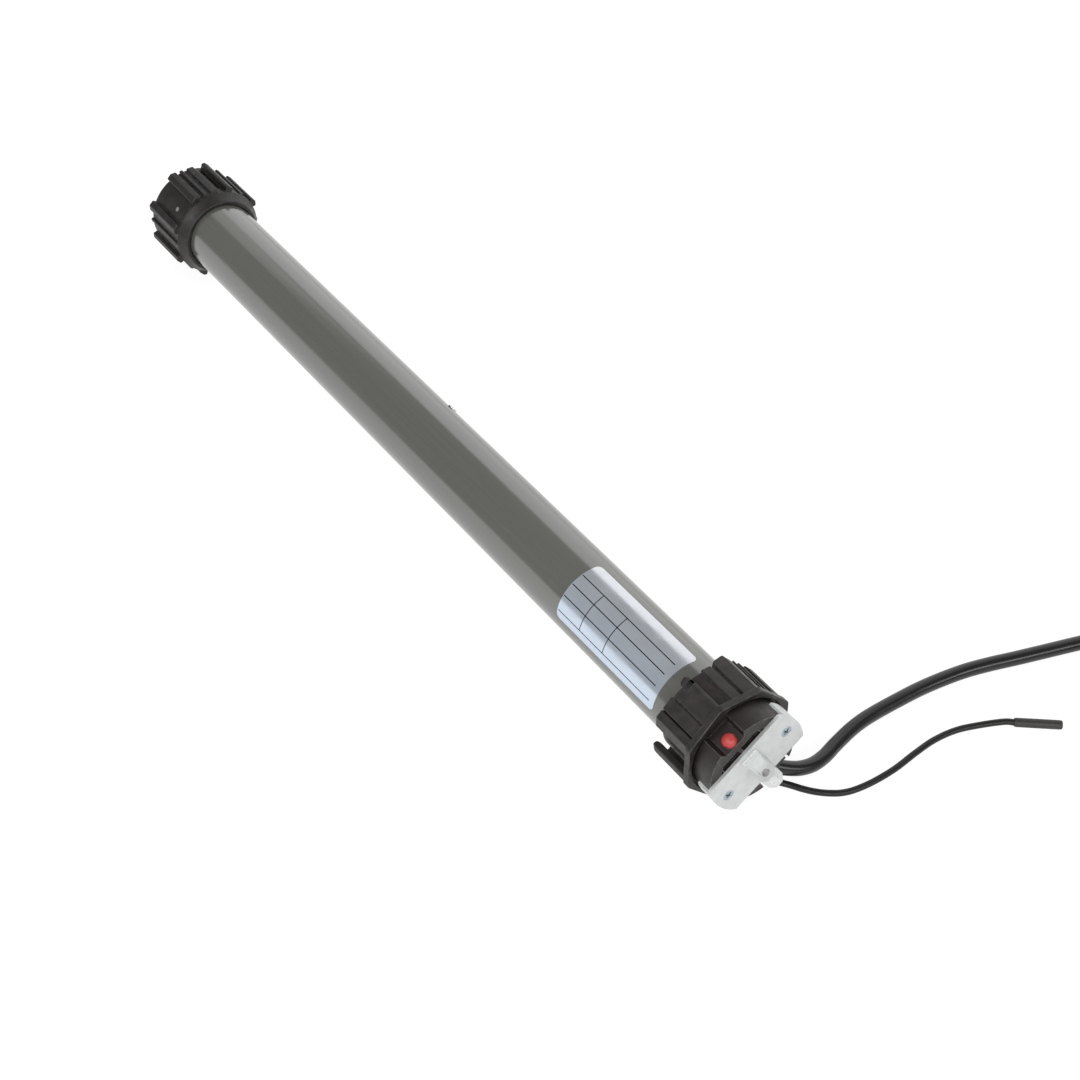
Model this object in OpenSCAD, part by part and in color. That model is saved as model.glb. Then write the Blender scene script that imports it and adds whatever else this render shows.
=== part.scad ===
// Tubular roller blind motor: a 45 mm motor tube with a ribbed drive wheel at the output end
// and a free-running crown, head, bracket plate and square stud at the fixed end.
// The motor axis is X. The object lies on the flats of its two octagonal adapters, on Z = 0.

/* [Tube] */
// Outer diameter of the motor tube
tube_d = 45; // [44:0.5:47]
// Wall thickness of the motor tube
tube_wall = 1; // [0.8:0.1:1.2]
// Length of the motor tube
tube_len = 544; // [500:1:700]
// Distance of the motor's fixing screws from the output end of the tube
tube_screw_s = 258; // [256:0.5:260]
// Head diameter of the fixing screws
tube_screw_d = 6; // [4:0.5:7]

/* [Rating label] */
// Length of the label along the tube
label_len = 86; // [40:1:95]
// Width of the label round the tube
label_w = 40; // [20:1:60]
// Distance from the label to the head end of the tube
label_gap = 32; // [28:1:60]
// Clock angle of the label's middle, seen from the head end
label_clock = -37; // [-60:1:60]

/* [Adapters] */
// Distance across the flats of the octagonal adapters
adapter_af = 60; // [58:0.5:61]
// Length of the drive wheel's ribbed part
wheel_len = 38; // [30:1:45]
// Length of the drive wheel's collar over the tube
wheel_collar = 5; // [4:0.5:8]
// Length of the crown's ribbed sleeve over the tube
crown_sleeve = 22.4; // [16:0.2:26]
// Distance across the flats of the crown's flange
flange_af = 62; // [61.5:0.5:66]
// Thickness of the crown's flange
flange_t = 4; // [3.5:0.1:5]
// Diameter of the drive wheel's set screw
set_screw_d = 3; // [2:0.5:4]

/* [Head] */
// Diameter of the head
head_d = 55; // [54:0.5:56]
// Length of the head in front of the tube
head_len = 16; // [15:0.5:20]
// Length of the head's neck inside the tube
neck_len = 44; // [36:1:50]
// Clock angle of the head, at which the setting button points
head_roll = -36.3; // [-60:0.1:60]
// Diameter of the setting button
button_d = 7.6; // [6:0.1:8]
// Travel of the setting button
button_travel = 0.8; // [0.3:0.1:0.9]

/* [Bracket plate] */
// Diameter of the bracket plate
plate_d = 57.5; // [57:0.5:59]
// Thickness of the bracket plate
plate_t = 2; // [1.5:0.1:2.5]
// Height of the bracket plate between its two straight edges
plate_h = 28.8; // [24:0.2:32]
// Length of the bent legs
leg_len = 10; // [6:0.5:10.5]
// Distance between the two bracket screws
screw_spacing = 42.6; // [38:0.2:44]
// Head diameter of the bracket screws
bracket_screw_d = 6.4; // [5:0.2:7]

/* [Square stud] */
// Side of the square stud
stud_w = 10; // [8:0.5:12]
// Length of the stud in front of the plate
stud_len = 14.4; // [10:0.2:20]
// Diameter of the stud's cross hole
stud_hole_d = 4.2; // [3:0.1:5]
// Distance of the cross hole from the stud's end
stud_hole_in = 4.7; // [4:0.1:5]

/* [Gearbox] */
// Wall of the gearbox outside its teeth
gear_wall = 3.1525; // [2.5:0.0025:4]
// Teeth of each sun gear
sun_teeth = 12; // [12:3:12]
// Teeth of each planet gear
planet_teeth = 21; // [21:2:21]
// Planets in each stage
planets = 3; // [3:1:3]
// Diameter of the output shaft
shaft_d = 12; // [10:0.5:13]
// Width of the output stage's planets
wide_planet = 22; // [16:1:24]
// Width of the middle stage's planets
middle_planet = 14; // [10:1:16]
// Width of the first stage's planets
narrow_planet = 10; // [8:1:12]

/* [Motor] */
// Length of the stator core
stator_len = 90; // [70:1:92]
// Diameter of the rotor core
rotor_d = 22; // [20:0.5:23]
// Diameter of the rotor shaft
rotor_shaft_d = 8; // [7:0.5:8.5]
// Travel of the brake disc
brake_travel = 0.4; // [0.2:0.1:0.4]
// Diameter of the run capacitor
capacitor_d = 30; // [25:0.5:32]
// Length of the run capacitor
capacitor_len = 70; // [50:1:72]

/* [Cables] */
// Diameter of the mains cable
mains_d = 8; // [7:0.1:8]
// Diameter of the antenna lead
antenna_d = 3.5; // [2.5:0.1:3.6]
// Length of the sleeve on the antenna's end
sleeve_len = 25; // [15:1:30]
// Length of the stripped cores
core_len = 34; // [24:1:40]

/* [Hidden] */
$fn = 64;
eps = 0.01;
cut = 1;
// Clearances: a fixed fit, a running shaft, and loose parts
fit_gap = 0.05;
run_gap = 0.06;
loose_gap = 0.3;
axial_play = 0.4;
flat_clock = 22.5;

tube_r = tube_d / 2;
bore_r = tube_r - tube_wall;
inner_r = bore_r - fit_gap;
head_r = head_d / 2;
axis_h = flange_af / 2;

// Stations along the axis, counted from the output end of the tube towards the head
lip_len = 6.6;
lip_s = tube_len + axial_play;
lip_end_s = lip_s + lip_len;
head_s = lip_end_s + axial_play;
head_end_s = head_s + head_len;
plate_end_s = head_end_s + plate_t;
stud_end_s = plate_end_s + stud_len;
wheel_s = -wheel_len;
middle_s = (wheel_s + stud_end_s) / 2;
crown_s = lip_s - crown_sleeve;
neck_s = tube_len - neck_len;

// Adapters: the sleeves over the tube, the rings that carry the pads
sleeve_wall = 2.3;
collar_wall = 2.74;
sleeve_r = tube_r + sleeve_wall;
sleeve_bore_r = tube_r + run_gap;
rib_rise = 1.5;
wheel_core_r = adapter_af / 2 - rib_rise;
wheel_core_wall = 3;
wheel_ring_r = wheel_core_r + 0.5;
wheel_joint = 1;
hub_wall = 4.5;
wheel_ring_len = 3;
wheel_web_t = 3;
hub_r = shaft_d / 2 + hub_wall;
shaft_end_s = wheel_s + 0.8;
flat_half = shaft_d / 2 - 1;
hub_s = wheel_s + 4;
circlip_t = 1;
circlip_s = hub_s - circlip_t - 0.1;
pad_in_r = tube_r + 1;
counterbore_r = head_r + 1.4;
flange_s = lip_end_s - 1;
flange_end_s = flange_s + flange_t;
// Pads of the crown over half a turn: from and to clock angle, rear setback and inner radius
crown_pads = [
    [-119, -106, 0.5, sleeve_r + 2.8],
    [-79, -60, 2.5, pad_in_r],
    [-59, -43.6, 2.5, pad_in_r],
    [-42.4, -31.3, 4.5, pad_in_r],
    [-31, -19, 0, pad_in_r],
    [-6, 6, 2.5, pad_in_r],
    [9, 30, 0, pad_in_r],
    [36.8, 39.2, 1.5, pad_in_r],
    [46.6, 49.4, 1.5, pad_in_r]];
// Low body between the crown's pads: from and to clock angle, rear setback and its depth below the flats
crown_body = [-79, 30, 3, 1.1];
// Ribs of the drive wheel over half a turn: from and to clock angle
wheel_ribs = [
    [-118, -107],
    [-90, -85],
    [-74, -61],
    [-29, -16],
    [-12, -7],
    [-2, 8],
    [19, 29],
    [42, 48]];
// Blind slot beside a rib: from and to clock angle, its distance from each end, and its depth
wheel_slot = [13, 18.6, 4, 8, 2];
wheel_spokes = 8;
wheel_spoke_t = 2;
half_turn = 180;
set_screw_clock = -47.7;
set_screw_s = wheel_s / 3;

// Screws of the tube and of the end plate, and the label's sheet
tube_screw_clocks = [55, 145];
screw_shank_r = 1.45;
screw_head_t = 0.9;
screw_grip = 6;
end_screw_clocks = [15, 135, 255];
end_screw_s = 2.5;
end_screw_r = 1.5;
end_screw_grip = 5;
label_t = 0.12;
label_lift = 0.03;
label_half = tube_r * sin(label_w / tube_r * 90 / PI);

// Octagon with flats up, down and at each side, corner radius from its distance across flats
function corner_r(af) = af / 2 / cos(flat_clock);

// Gears: involute flanks at a 20 degree pressure angle, with three chords a flank
pressure = 20;
ring_teeth = sun_teeth + 2 * planet_teeth;
gear_m = (inner_r - gear_wall) / (ring_teeth / 2 + 1.15);
addendum = 0.85 * gear_m;
dedendum = 1.15 * gear_m;
flank_lash = 0.05;
function involute(a) = tan(a) * 180 / PI - a;
function base_r(teeth, m) = teeth * m / 2 * cos(pressure);
function half_tooth(teeth, m, r, lash) = 90 / teeth - lash / (teeth * m / 2) * 180 / PI
    + involute(pressure) - (r > base_r(teeth, m) ? involute(acos(base_r(teeth, m) / r)) : 0);
function polar(r, a) = [r * cos(a), r * sin(a)];
function gear_points(teeth, m, tip, root, lash) =
    let (pitch = teeth * m / 2, radii = [root, pitch, (pitch + tip) / 2, tip], last = len(radii) - 1)
    [for (k = [0:teeth - 1]) each concat(
        [for (i = [0:last]) polar(radii[i], k * 360 / teeth - half_tooth(teeth, m, radii[i], lash))],
        [for (i = [last:-1:0]) polar(radii[i], k * 360 / teeth + half_tooth(teeth, m, radii[i], lash))])];
sun_r = sun_teeth * gear_m / 2;
planet_r = planet_teeth * gear_m / 2;
ring_r = ring_teeth * gear_m / 2;
planet_orbit = sun_r + planet_r;
planet_pin_r = 2.4;
planet_bore_r = planet_pin_r + run_gap;
ring_root_r = ring_r + dedendum;
ring_tip_r = ring_r - addendum;
carrier_r = ring_tip_r - loose_gap;

// Crown's internal gear and the encoder pinion
crown_teeth = 57;
pinion_teeth = 11;
pitch_out = 0.3;
crown_pitch_r = tube_r + pitch_out;
encoder_m = 2 * crown_pitch_r / crown_teeth;
pinion_pitch_r = pinion_teeth * encoder_m / 2;
pinion_orbit = crown_pitch_r - pinion_pitch_r;
encoder_add = 0.7;
encoder_ded = 0.95;
crown_ded = 0.9;
crown_tip_r = crown_pitch_r - encoder_add;
crown_root_r = crown_pitch_r + crown_ded;
pinion_tip_r = pinion_pitch_r + encoder_add;
pinion_root_r = pinion_pitch_r - encoder_ded;
encoder_clock = head_roll + 90;
tooth_in = 1.6;
tooth_out = 1;
tooth_gap = 0.2;
pinion_window = 0.5;
tooth_s = lip_s + tooth_in;
tooth_end_s = lip_end_s - tooth_out;
pinion_shaft_r = 1.5;
neck_wall = 2.2;
neck_hollow_r = bore_r - neck_wall;
web_s = tube_len - 4;
web_t = 2.5;
web_ring = 8.5;
pinion_shaft_s = web_s - 3;
pinion_shaft_end_s = head_s + 3;
shaft_end_gap = 0.5;

// Gearbox stations
end_plate_t = 10;
bush_wall = 3;
bush_r = shaft_d / 2 + bush_wall;
carrier_t = 4.5;
gear_gap = 0.5;
output_disc_s = end_plate_t + 1;
wide_s = output_disc_s + carrier_t + gear_gap;
wide_end_s = wide_s + wide_planet;
second_disc_s = wide_end_s + 1.5;
middle_pl_s = second_disc_s + carrier_t + gear_gap;
middle_end_s = middle_pl_s + middle_planet;
first_disc_s = middle_end_s + 1.5;
narrow_s = first_disc_s + carrier_t + gear_gap;
narrow_end_s = narrow_s + narrow_planet;
gearbox_end_s = narrow_end_s + 1.5;
shield_t = 12;
shield_end_s = gearbox_end_s + shield_t;
lining_t = 2;
disc_t = 5;
disc_gap = 0.02;
disc_s = shield_end_s + lining_t + disc_gap;
disc_end_s = disc_s + disc_t;
spring_space = 12;
collar_s = disc_end_s + spring_space;
collar_t = 3;
collar_r = 13;
drive_pin_r = 1.2;
drive_pin_orbit = 10.5;
lining_r = 17.5;
lining_in_r = 13;
brake_disc_r = 18;

// Motor stations
rear_shield_t = 14;
rear_shield_s = tube_screw_s - rear_shield_t / 2;
winding_len = 16;
core_gap = 4;
stator_end_s = rear_shield_s - core_gap - winding_len;
stator_s = stator_end_s - stator_len;
rotor_r = rotor_d / 2;
air_gap = 0.3;
stator_bore_r = rotor_r + air_gap;
rotor_shaft_r = rotor_shaft_d / 2;
end_ring_len = 6;
slots = 12;
slot_w = 3.4;
slot_in_r = stator_bore_r + 1.2;
slot_out_r = bore_r - 3.5;
coil_w = 3;
motor_bush_r = rotor_shaft_r + 3;
motor_bush_len = 10;
rear_bush_s = rear_shield_s + 2;

// Brake spring
spring_wire_r = 0.6;
spring_r = rotor_shaft_r + 2.2;
spring_turns = 5;
spring_rings = 16;
spring_s = disc_end_s + brake_travel + 0.1 + spring_wire_r;
spring_end_s = collar_s - spring_wire_r - 0.05;
spring_path = [for (i = [0:spring_turns * spring_rings]) let (t = i / (spring_turns * spring_rings))
    [spring_r * cos(360 * spring_turns * t), spring_r * sin(360 * spring_turns * t),
        spring_s + (spring_end_s - spring_s) * t]];

// Electronics stations, counted back from the neck of the head
tray_s = tube_screw_s + rear_shield_t / 2 + 4;
tray_end_s = neck_s - 2;
tray_r = bore_r - 0.2;
tray_wall = 1.5;
tray_level = -4;
capacitor_s = tray_s + 6;
capacitor_r = capacitor_d / 2;
capacitor_z = -(tray_r - tray_wall) + capacitor_r + 0.2;
saddle_t = 3;
saddle_low = 2;
board_s = capacitor_s + capacitor_len + 6;
board_end_s = tray_end_s - 3;
board_w = 2 * (tray_r - 1);
board_t = 1.6;
board_top = tray_level + board_t;
relay_size = [16, 12, 16];
relay_in = 12;
relay_s = board_s + relay_in;
relay_pitch = 20;
transformer_size = [22, 15, 24];
transformer_in = 56;
transformer_s = board_s + transformer_in;
terminal_size = [18, 10, 12];
terminal_in = 4;
terminal_s = board_end_s - terminal_size[2] - terminal_in;
terminal_pitch = 6;
terminal_hole_r = 1.6;

// Head details in the head's own axes: e along the plate, n towards the button
button_s = head_end_s - 4.4;
button_r = button_d / 2;
pocket_floor_n = 22.6;
floor_t = 1;
button_rim = 1;
button_rim_r = button_r + button_rim;
button_rim_t = 1;
button_top_n = 27;
button_dome = 2.6;
pocket_half_w = 6.2;
pocket_top_half_w = 10;
pocket_back_t = 1.2;
pocket_s = head_s + pocket_back_t;
cavity_half_w = 3.4;
cavity_n = 16.6;
cavity_in = 3;
cavity_out = 1.9;
cavity_s = head_s - cavity_in;
cavity_end_s = button_s + cavity_out;
tact_w = 4.6;
tact_s = button_s - 0.8;
switch_board_t = 0.8;
switch_board_n = cavity_n + 0.1;
tact_base_n = switch_board_n + switch_board_t;
button_under_n = pocket_floor_n - floor_t - 0.05;
plunger_r = 1.1;
plunger_top_n = button_under_n - button_rim_t;
button_low_n = plunger_top_n - button_travel;
tact_top_n = button_low_n - 0.1;
slot_top_n = 18.3;
slot_low_n = 13.4;
slot_arc_r = 21.5;
slot_deep = 6;
slot_shallow = 2;
slot_half_span = 17.6;
opening_low_e = -8;
opening_high_e = 12;
opening_n = -6;
opening_in = 2;
opening_step = 2;
neck_floor = 1;
plug_in = 3;
// Block that the antenna lead comes out of
gland_low_e = -5.2;
gland_n = -19.19;
gland_gap = 0.2;
gland_back = 0.6;
slot_pairs = [[0.9, 13], [13.7, slot_half_span]];
bracket_screw_len = 10;
bracket_screw_r = 1.5;
countersink_t = 1.6;
leg_half_w = 10;
leg_t = 1.5;
leg_inset = 0.12;
leg_gap = 0.6;
leg_side_gap = 0.4;
leg_r = plate_d / 2;
lug_r = 24.5;
lug_len = 3;

// Stud details
stud_foot_t = 1.1;
stud_foot_n = 11.5;
stud_chamfer = 0.9;
stud_tip_chamfer = 3;
shank_r = 3.5;
shank_len = 6;
shank_head_r = shank_r + 1.5;
shank_gap = 0.5;
stud_hole_s = stud_end_s - stud_hole_in;

// Cable plug and the places where the cables leave it
plug_low_e = -0.6;
plug_high_e = 10.6;
plug_low_n = -20.5;
plug_high_n = -7;
plug_s = head_s + plug_in;
plug_end_s = head_end_s - loose_gap;
boss_len = 6;
boss_wall = 0.25;
boss_r = mains_d / 2 + boss_wall;
plug_pin_r = 1;
plug_pins = 3;
plug_pin_pitch = 3.2;
mains_r = mains_d / 2;
antenna_r = antenna_d / 2;
sleeve_r_out = antenna_r + 0.75;

// The routes were laid out with the head's front face at this place, and keep their place at the head
head_face_x = 294.5;
cable_shift = [head_end_s - middle_s - head_face_x, 0, 0];
// Route of the mains cable from the plug to the coil
mains_points = [
    [289.5, 18.5, 11.5], [292, 24.3, 8.9], [294, 31, 6.6], [294.6, 39, 5], [293, 48, 4.2],
    [289.7, 58, 4], [286.3, 70, 4], [284.4, 80, 4], [283.6, 90, 4], [283.3, 104, 4],
    [283.4, 120, 4], [284.6, 135, 4], [286.8, 150, 4], [290.3, 164, 4], [294.6, 178, 4],
    [299, 193, 4], [303.3, 208, 4], [307.7, 223, 4], [312, 238, 4]];
// Route of the antenna lead from the head to its sleeve
antenna_points = [
    [292, 9, 13.8], [292, 11.2, 10.8], [292.1, 13.4, 7.8], [292.6, 16.2, 4.8], [294.1, 19.6, 2.7],
    [297.6, 23, 1.9], [302.2, 26, 1.8], [307.3, 30, 1.8], [311.7, 34.7, 1.8], [315.6, 40.6, 1.8],
    [317.9, 48, 1.8], [318.9, 59.5, 1.8], [318.3, 74, 1.8], [315.8, 90, 1.8], [314.3, 104, 1.8],
    [315.4, 118, 1.8], [319.6, 131, 1.8], [325.3, 142.4, 2.5], [328.5, 146.4, 2.5]];
mains_route = [for (p = mains_points) p + cable_shift];
antenna_route = [for (p = antenna_points) p + cable_shift];

// Stored coil: two piled layers that wind inwards, climb, and wind outwards again
coil_out_x = 85.5;
coil_x = head_face_x + coil_out_x + cable_shift[0];
coil_y = 253.2;
coil_in_r = 34.5;
coil_turns = 3;
coil_back_turns = 2.6;
coil_pitch = mains_d + 0.6;
coil_layer = mains_d + 0.5;
coil_out_r = coil_in_r + coil_turns * coil_pitch;
coil_rings = 24;
coil_sides = 6;
coil_start = 164;
coil_climb = 0.5;
coil_lead = mains_d;
coil_lead_in = 12;
coil_total = coil_turns + coil_climb + coil_back_turns;

function coil_radius(t) = t < coil_turns ? coil_out_r - coil_pitch * t
    : t < coil_turns + coil_climb / 2 ? coil_in_r - coil_pitch * (t - coil_turns)
    : t < coil_turns + coil_climb ? coil_in_r - coil_pitch * (coil_turns + coil_climb - t)
    : coil_in_r + coil_pitch * (t - coil_turns - coil_climb);
function coil_height(t) = mains_r + coil_layer
    * (t < coil_turns ? 0 : t > coil_turns + coil_climb ? 1
        : (1 - cos(180 * (t - coil_turns) / coil_climb)) / 2);
function coil_point(t) = let (a = coil_start - 360 * t, r = coil_radius(t))
    [coil_x + r * cos(a), coil_y + r * sin(a), coil_height(t)];
function unit(v) = v / norm(v);
function coil_entry_dir() = unit(coil_point(0.01) - coil_point(0));
coil_entry = coil_point(0) - coil_entry_dir() * coil_lead;
coil_steps = floor(coil_total * coil_rings);
coil_exit_dir = unit(coil_point(coil_total) - coil_point(coil_total - 0.01));
coil_exit = coil_point(coil_total) + coil_exit_dir * coil_lead;
coil_path = concat([coil_entry],
    [for (i = [0:coil_steps]) coil_point(i * coil_total / coil_steps)], [coil_exit]);

// Rings along a path, and the closed tube that they carry
function path_dir(p, i) = unit(p[min(i + 1, len(p) - 1)] - p[max(i - 1, 0)]);
function ring_points(p, i, r, sides) =
    let (t = path_dir(p, i), side = unit(cross(t, [0, 0, 1])), up = cross(side, t))
    [for (j = [0:sides - 1]) p[i] + r * (sin(j * 360 / sides) * side - cos(j * 360 / sides) * up)];
module swept_tube(p, r, sides) {
    last = (len(p) - 1) * sides;
    points = [for (i = [0:len(p) - 1]) each ring_points(p, i, r, sides)];
    walls = [for (i = [0:len(p) - 2]) for (j = [0:sides - 1])
        let (a = i * sides + j, b = i * sides + (j + 1) % sides)
        each [[a, b, b + sides], [a, b + sides, a + sides]]];
    near_cap = [for (j = [1:sides - 2]) [0, j + 1, j]];
    far_cap = [for (j = [1:sides - 2]) [last, last + j, last + j + 1]];
    polyhedron(points = points, faces = concat(walls, near_cap, far_cap));
}
function path_length(p, i = 0) = i >= len(p) - 1 ? 0 : norm(p[i + 1] - p[i]) + path_length(p, i + 1);
// Least gap between turns, on points at least half a turn apart along the coil
coil_gap = min([for (i = [0:len(coil_path) - 1]) for (j = [i + coil_rings / 2:len(coil_path) - 1])
    norm(coil_path[i] - coil_path[j])]) - mains_d;
// Directions of the mains cable at the plug and of the antenna's sleeve
mains_dir = unit(mains_route[1] - mains_route[0]);
antenna_last = len(antenna_route) - 1;
sleeve_dir = unit(antenna_route[antenna_last] - antenna_route[antenna_last - 1]);

// Stripped cores, which lie on the lower layer of the coil
core_r = 1.1;
core_colors = 3;
core_pitch = 2.6;
core_steps = 8;
core_drop = 2.6;
core_side = unit(cross([0, 0, 1], coil_exit_dir));
core_bow = 0.2;
ferrule_r = 0.9;
ferrule_len = 8;

// The mains cable runs straight into the coil over its last stretch
full_mains_route = concat(mains_route, [coil_entry - coil_entry_dir() * coil_lead_in, coil_entry]);
echo(coil_gap = coil_gap, coil_length = path_length(coil_path), mains_stretch = path_length(full_mains_route),
    antenna_lead = path_length(antenna_route), coil_entry = coil_entry);

// Axis frame: local z runs along the motor towards the head, local y is up, local x is +Y
module on_axis() translate([-middle_s, 0, axis_h]) rotate([90, 0, 90]) children();
// Turns children clockwise, seen from the head end
module clock(a) rotate([0, 0, -a]) children();
// Head frame: local x is e, along the plate, and local y is n, towards the button
module in_head() on_axis() clock(head_roll) children();
module barrel(s0, s1, r) translate([0, 0, s0]) cylinder(r = r, h = s1 - s0);
module pipe(s0, s1, outer, inner) difference() {
    barrel(s0, s1, outer);
    barrel(s0 - cut, s1 + cut, inner);
}
module slab(x0, x1, y0, y1, s0, s1) translate([x0, y0, s0]) cube([x1 - x0, y1 - y0, s1 - s0]);
// Radial cylinder that points to 12 o'clock, from one radius to another
module spoke(s, r0, r1, r) translate([0, r0, s]) rotate([-90, 0, 0]) cylinder(r = r, h = r1 - r0);
module octagon(af) rotate(flat_clock) circle(r = corner_r(af), $fn = 8);
module sector(a0, a1, r) polygon([[0, 0], [r * sin(a0), r * cos(a0)],
    [r * sin((a0 + a1) / 2), r * cos((a0 + a1) / 2)] * 1.05, [r * sin(a1), r * cos(a1)]]);
// Pad between two clock angles, from an inner radius out to the octagon
module pad(a0, a1, s0, s1, r_in, af) translate([0, 0, s0]) linear_extrude(s1 - s0) intersection() {
    octagon(af);
    difference() {
        sector(a0, a1, af);
        circle(r = r_in);
    }
}
module gear(teeth, m, s0, s1, tip, root, lash) translate([0, 0, s0]) linear_extrude(s1 - s0)
    polygon(gear_points(teeth, m, tip, root, lash));
module sun_gear(s0, s1) gear(sun_teeth, gear_m, s0, s1, sun_r + addendum, sun_r - dedendum, flank_lash);
module at_planets(n = [0:planets - 1]) for (k = n) rotate(k * 360 / planets)
    translate([planet_orbit, 0, 0]) children();
module carrier_pins(s0, s1) on_axis() at_planets() barrel(s0, s1, planet_pin_r);

module motor_tube() color("#7c7d76") on_axis() difference() {
    pipe(0, tube_len, tube_r, bore_r);
    for (a = tube_screw_clocks) clock(a) spoke(tube_screw_s, bore_r - cut, tube_r + cut, screw_shank_r + 0.1);
    for (a = end_screw_clocks) clock(a) spoke(end_screw_s, bore_r - cut, tube_r + cut, end_screw_r);
}

module rating_label() color("silver") on_axis() clock(label_clock) intersection() {
    pipe(tube_len - label_gap - label_len, tube_len - label_gap, tube_r + label_lift + label_t,
        tube_r + label_lift);
    slab(-label_half, label_half, 0, tube_d, 0, tube_len);
}

module tube_screws() color("silver") on_axis() for (a = tube_screw_clocks) clock(a) {
    spoke(tube_screw_s, tube_r, tube_r + screw_head_t, tube_screw_d / 2);
    spoke(tube_screw_s, tube_r - screw_grip, tube_r + eps, screw_shank_r);
}

module drive_wheel() color("#1c1c1e") on_axis() difference() {
    union() {
        pipe(wheel_s, 0, wheel_core_r, wheel_core_r - wheel_core_wall);
        barrel(hub_s, -wheel_joint, hub_r);
        pipe(-wheel_web_t - wheel_joint, -wheel_joint, wheel_core_r - wheel_joint, hub_r - wheel_joint);
        pipe(-wheel_ring_len, 0, wheel_ring_r, sleeve_bore_r);
        pipe(-eps, wheel_collar, sleeve_bore_r + collar_wall, sleeve_bore_r);
        for (k = [0:wheel_spokes - 1]) rotate(k * 360 / wheel_spokes)
            slab(hub_r - wheel_joint, wheel_core_r - wheel_joint, -wheel_spoke_t / 2, wheel_spoke_t / 2,
                hub_s, -wheel_joint);
        for (turn = [0, half_turn]) for (r = wheel_ribs)
            pad(r[0] + turn, r[1] + turn, wheel_s, -wheel_ring_len, wheel_core_r - wheel_joint, adapter_af);
    }
    shaft_end(wheel_s - cut, end_plate_t, fit_gap);
    clock(set_screw_clock) spoke(set_screw_s, 0, adapter_af, set_screw_d / 2 + 0.1);
    for (turn = [0, half_turn]) pad(wheel_slot[0] + turn, wheel_slot[1] + turn, wheel_s + wheel_slot[2],
        -wheel_slot[3], wheel_core_r - wheel_slot[4], adapter_af);
}
// Shaft with two flats, one of them under the set screw
module shaft_end(s0, s1, gap = 0) intersection() {
    barrel(s0, s1, shaft_d / 2 + gap);
    clock(set_screw_clock) slab(-shaft_d, shaft_d, -flat_half - gap, flat_half + gap, s0 - cut, s1 + cut);
}

module wheel_set_screw() color("silver") on_axis() clock(set_screw_clock)
    spoke(set_screw_s, flat_half, wheel_core_r + 0.3, set_screw_d / 2);

module output_carrier() color("slategray") on_axis() difference() {
    union() {
        shaft_end(shaft_end_s, 0);
        barrel(-eps, output_disc_s + eps, shaft_d / 2);
        barrel(output_disc_s, output_disc_s + carrier_t, carrier_r);
    }
    at_planets() barrel(output_disc_s - cut, output_disc_s + carrier_t + cut, planet_pin_r + 0.02);
    pipe(circlip_s, circlip_s + circlip_t + 0.1, shaft_d, shaft_d / 2 - 0.6);
}
module output_pins() color("lightsteelblue") carrier_pins(output_disc_s, wide_end_s);

module shaft_circlip() color("gray") on_axis() difference() {
    pipe(circlip_s, circlip_s + circlip_t, shaft_d / 2 + 1.6, shaft_d / 2 - 0.55);
    slab(-2.5, 2.5, 0, shaft_d, circlip_s - cut, circlip_s + circlip_t + cut);
}

module end_plate() color("silver") on_axis() difference() {
    union() {
        barrel(0.2, end_plate_t, inner_r);
        barrel(-0.6, end_plate_t, bush_r + 2);
    }
    barrel(-cut, end_plate_t + cut, bush_r + fit_gap);
    for (a = end_screw_clocks) clock(a) spoke(end_screw_s, inner_r - end_screw_grip, tube_r, end_screw_r);
}
module end_plate_screws() color("silver") on_axis() for (a = end_screw_clocks) clock(a)
    spoke(end_screw_s, inner_r - end_screw_grip + 0.1, tube_r - 0.15, end_screw_r - fit_gap);

module output_bush() color("goldenrod") on_axis()
    pipe(-0.6, end_plate_t, bush_r, shaft_d / 2 + run_gap);

module gearbox_housing() color("dimgray") on_axis() difference() {
    barrel(end_plate_t, gearbox_end_s, inner_r);
    gear(ring_teeth, gear_m, end_plate_t - cut, gearbox_end_s + cut, ring_root_r, ring_tip_r, -flank_lash);
}

module planet_gear(n, s0, s1) on_axis() at_planets([n]) difference() {
    gear(planet_teeth, gear_m, s0, s1, planet_r + addendum, planet_r - dedendum, flank_lash);
    barrel(s0 - cut, s1 + cut, planet_bore_r);
}
module third_planet(n) color("darkgray") planet_gear(n, wide_s, wide_end_s);
module second_planet(n) color("gainsboro") planet_gear(n, middle_pl_s, middle_end_s);
module first_planet(n) color("ivory") planet_gear(n, narrow_s, narrow_end_s);
module third_planet_a() third_planet(0);
module third_planet_b() third_planet(1);
module third_planet_c() third_planet(2);
module second_planet_a() second_planet(0);
module second_planet_b() second_planet(1);
module second_planet_c() second_planet(2);
module first_planet_a() first_planet(0);
module first_planet_b() first_planet(1);
module first_planet_c() first_planet(2);

// Disc with planet pins on its motor side and the next stage's sun gear on its output side
module stage_carrier(s, sun_s) on_axis() difference() {
    union() {
        barrel(s, s + carrier_t, carrier_r);
        sun_gear(sun_s, s + eps);
    }
    at_planets() barrel(s - cut, s + carrier_t + cut, planet_pin_r + 0.02);
}
module second_carrier() color("slategray") stage_carrier(second_disc_s, wide_s + 0.2);
module first_carrier() color("slategray") stage_carrier(first_disc_s, middle_pl_s + 0.2);
module second_pins() color("lightsteelblue") carrier_pins(second_disc_s, middle_end_s);
module first_pins() color("lightsteelblue") carrier_pins(first_disc_s, narrow_end_s);

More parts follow.
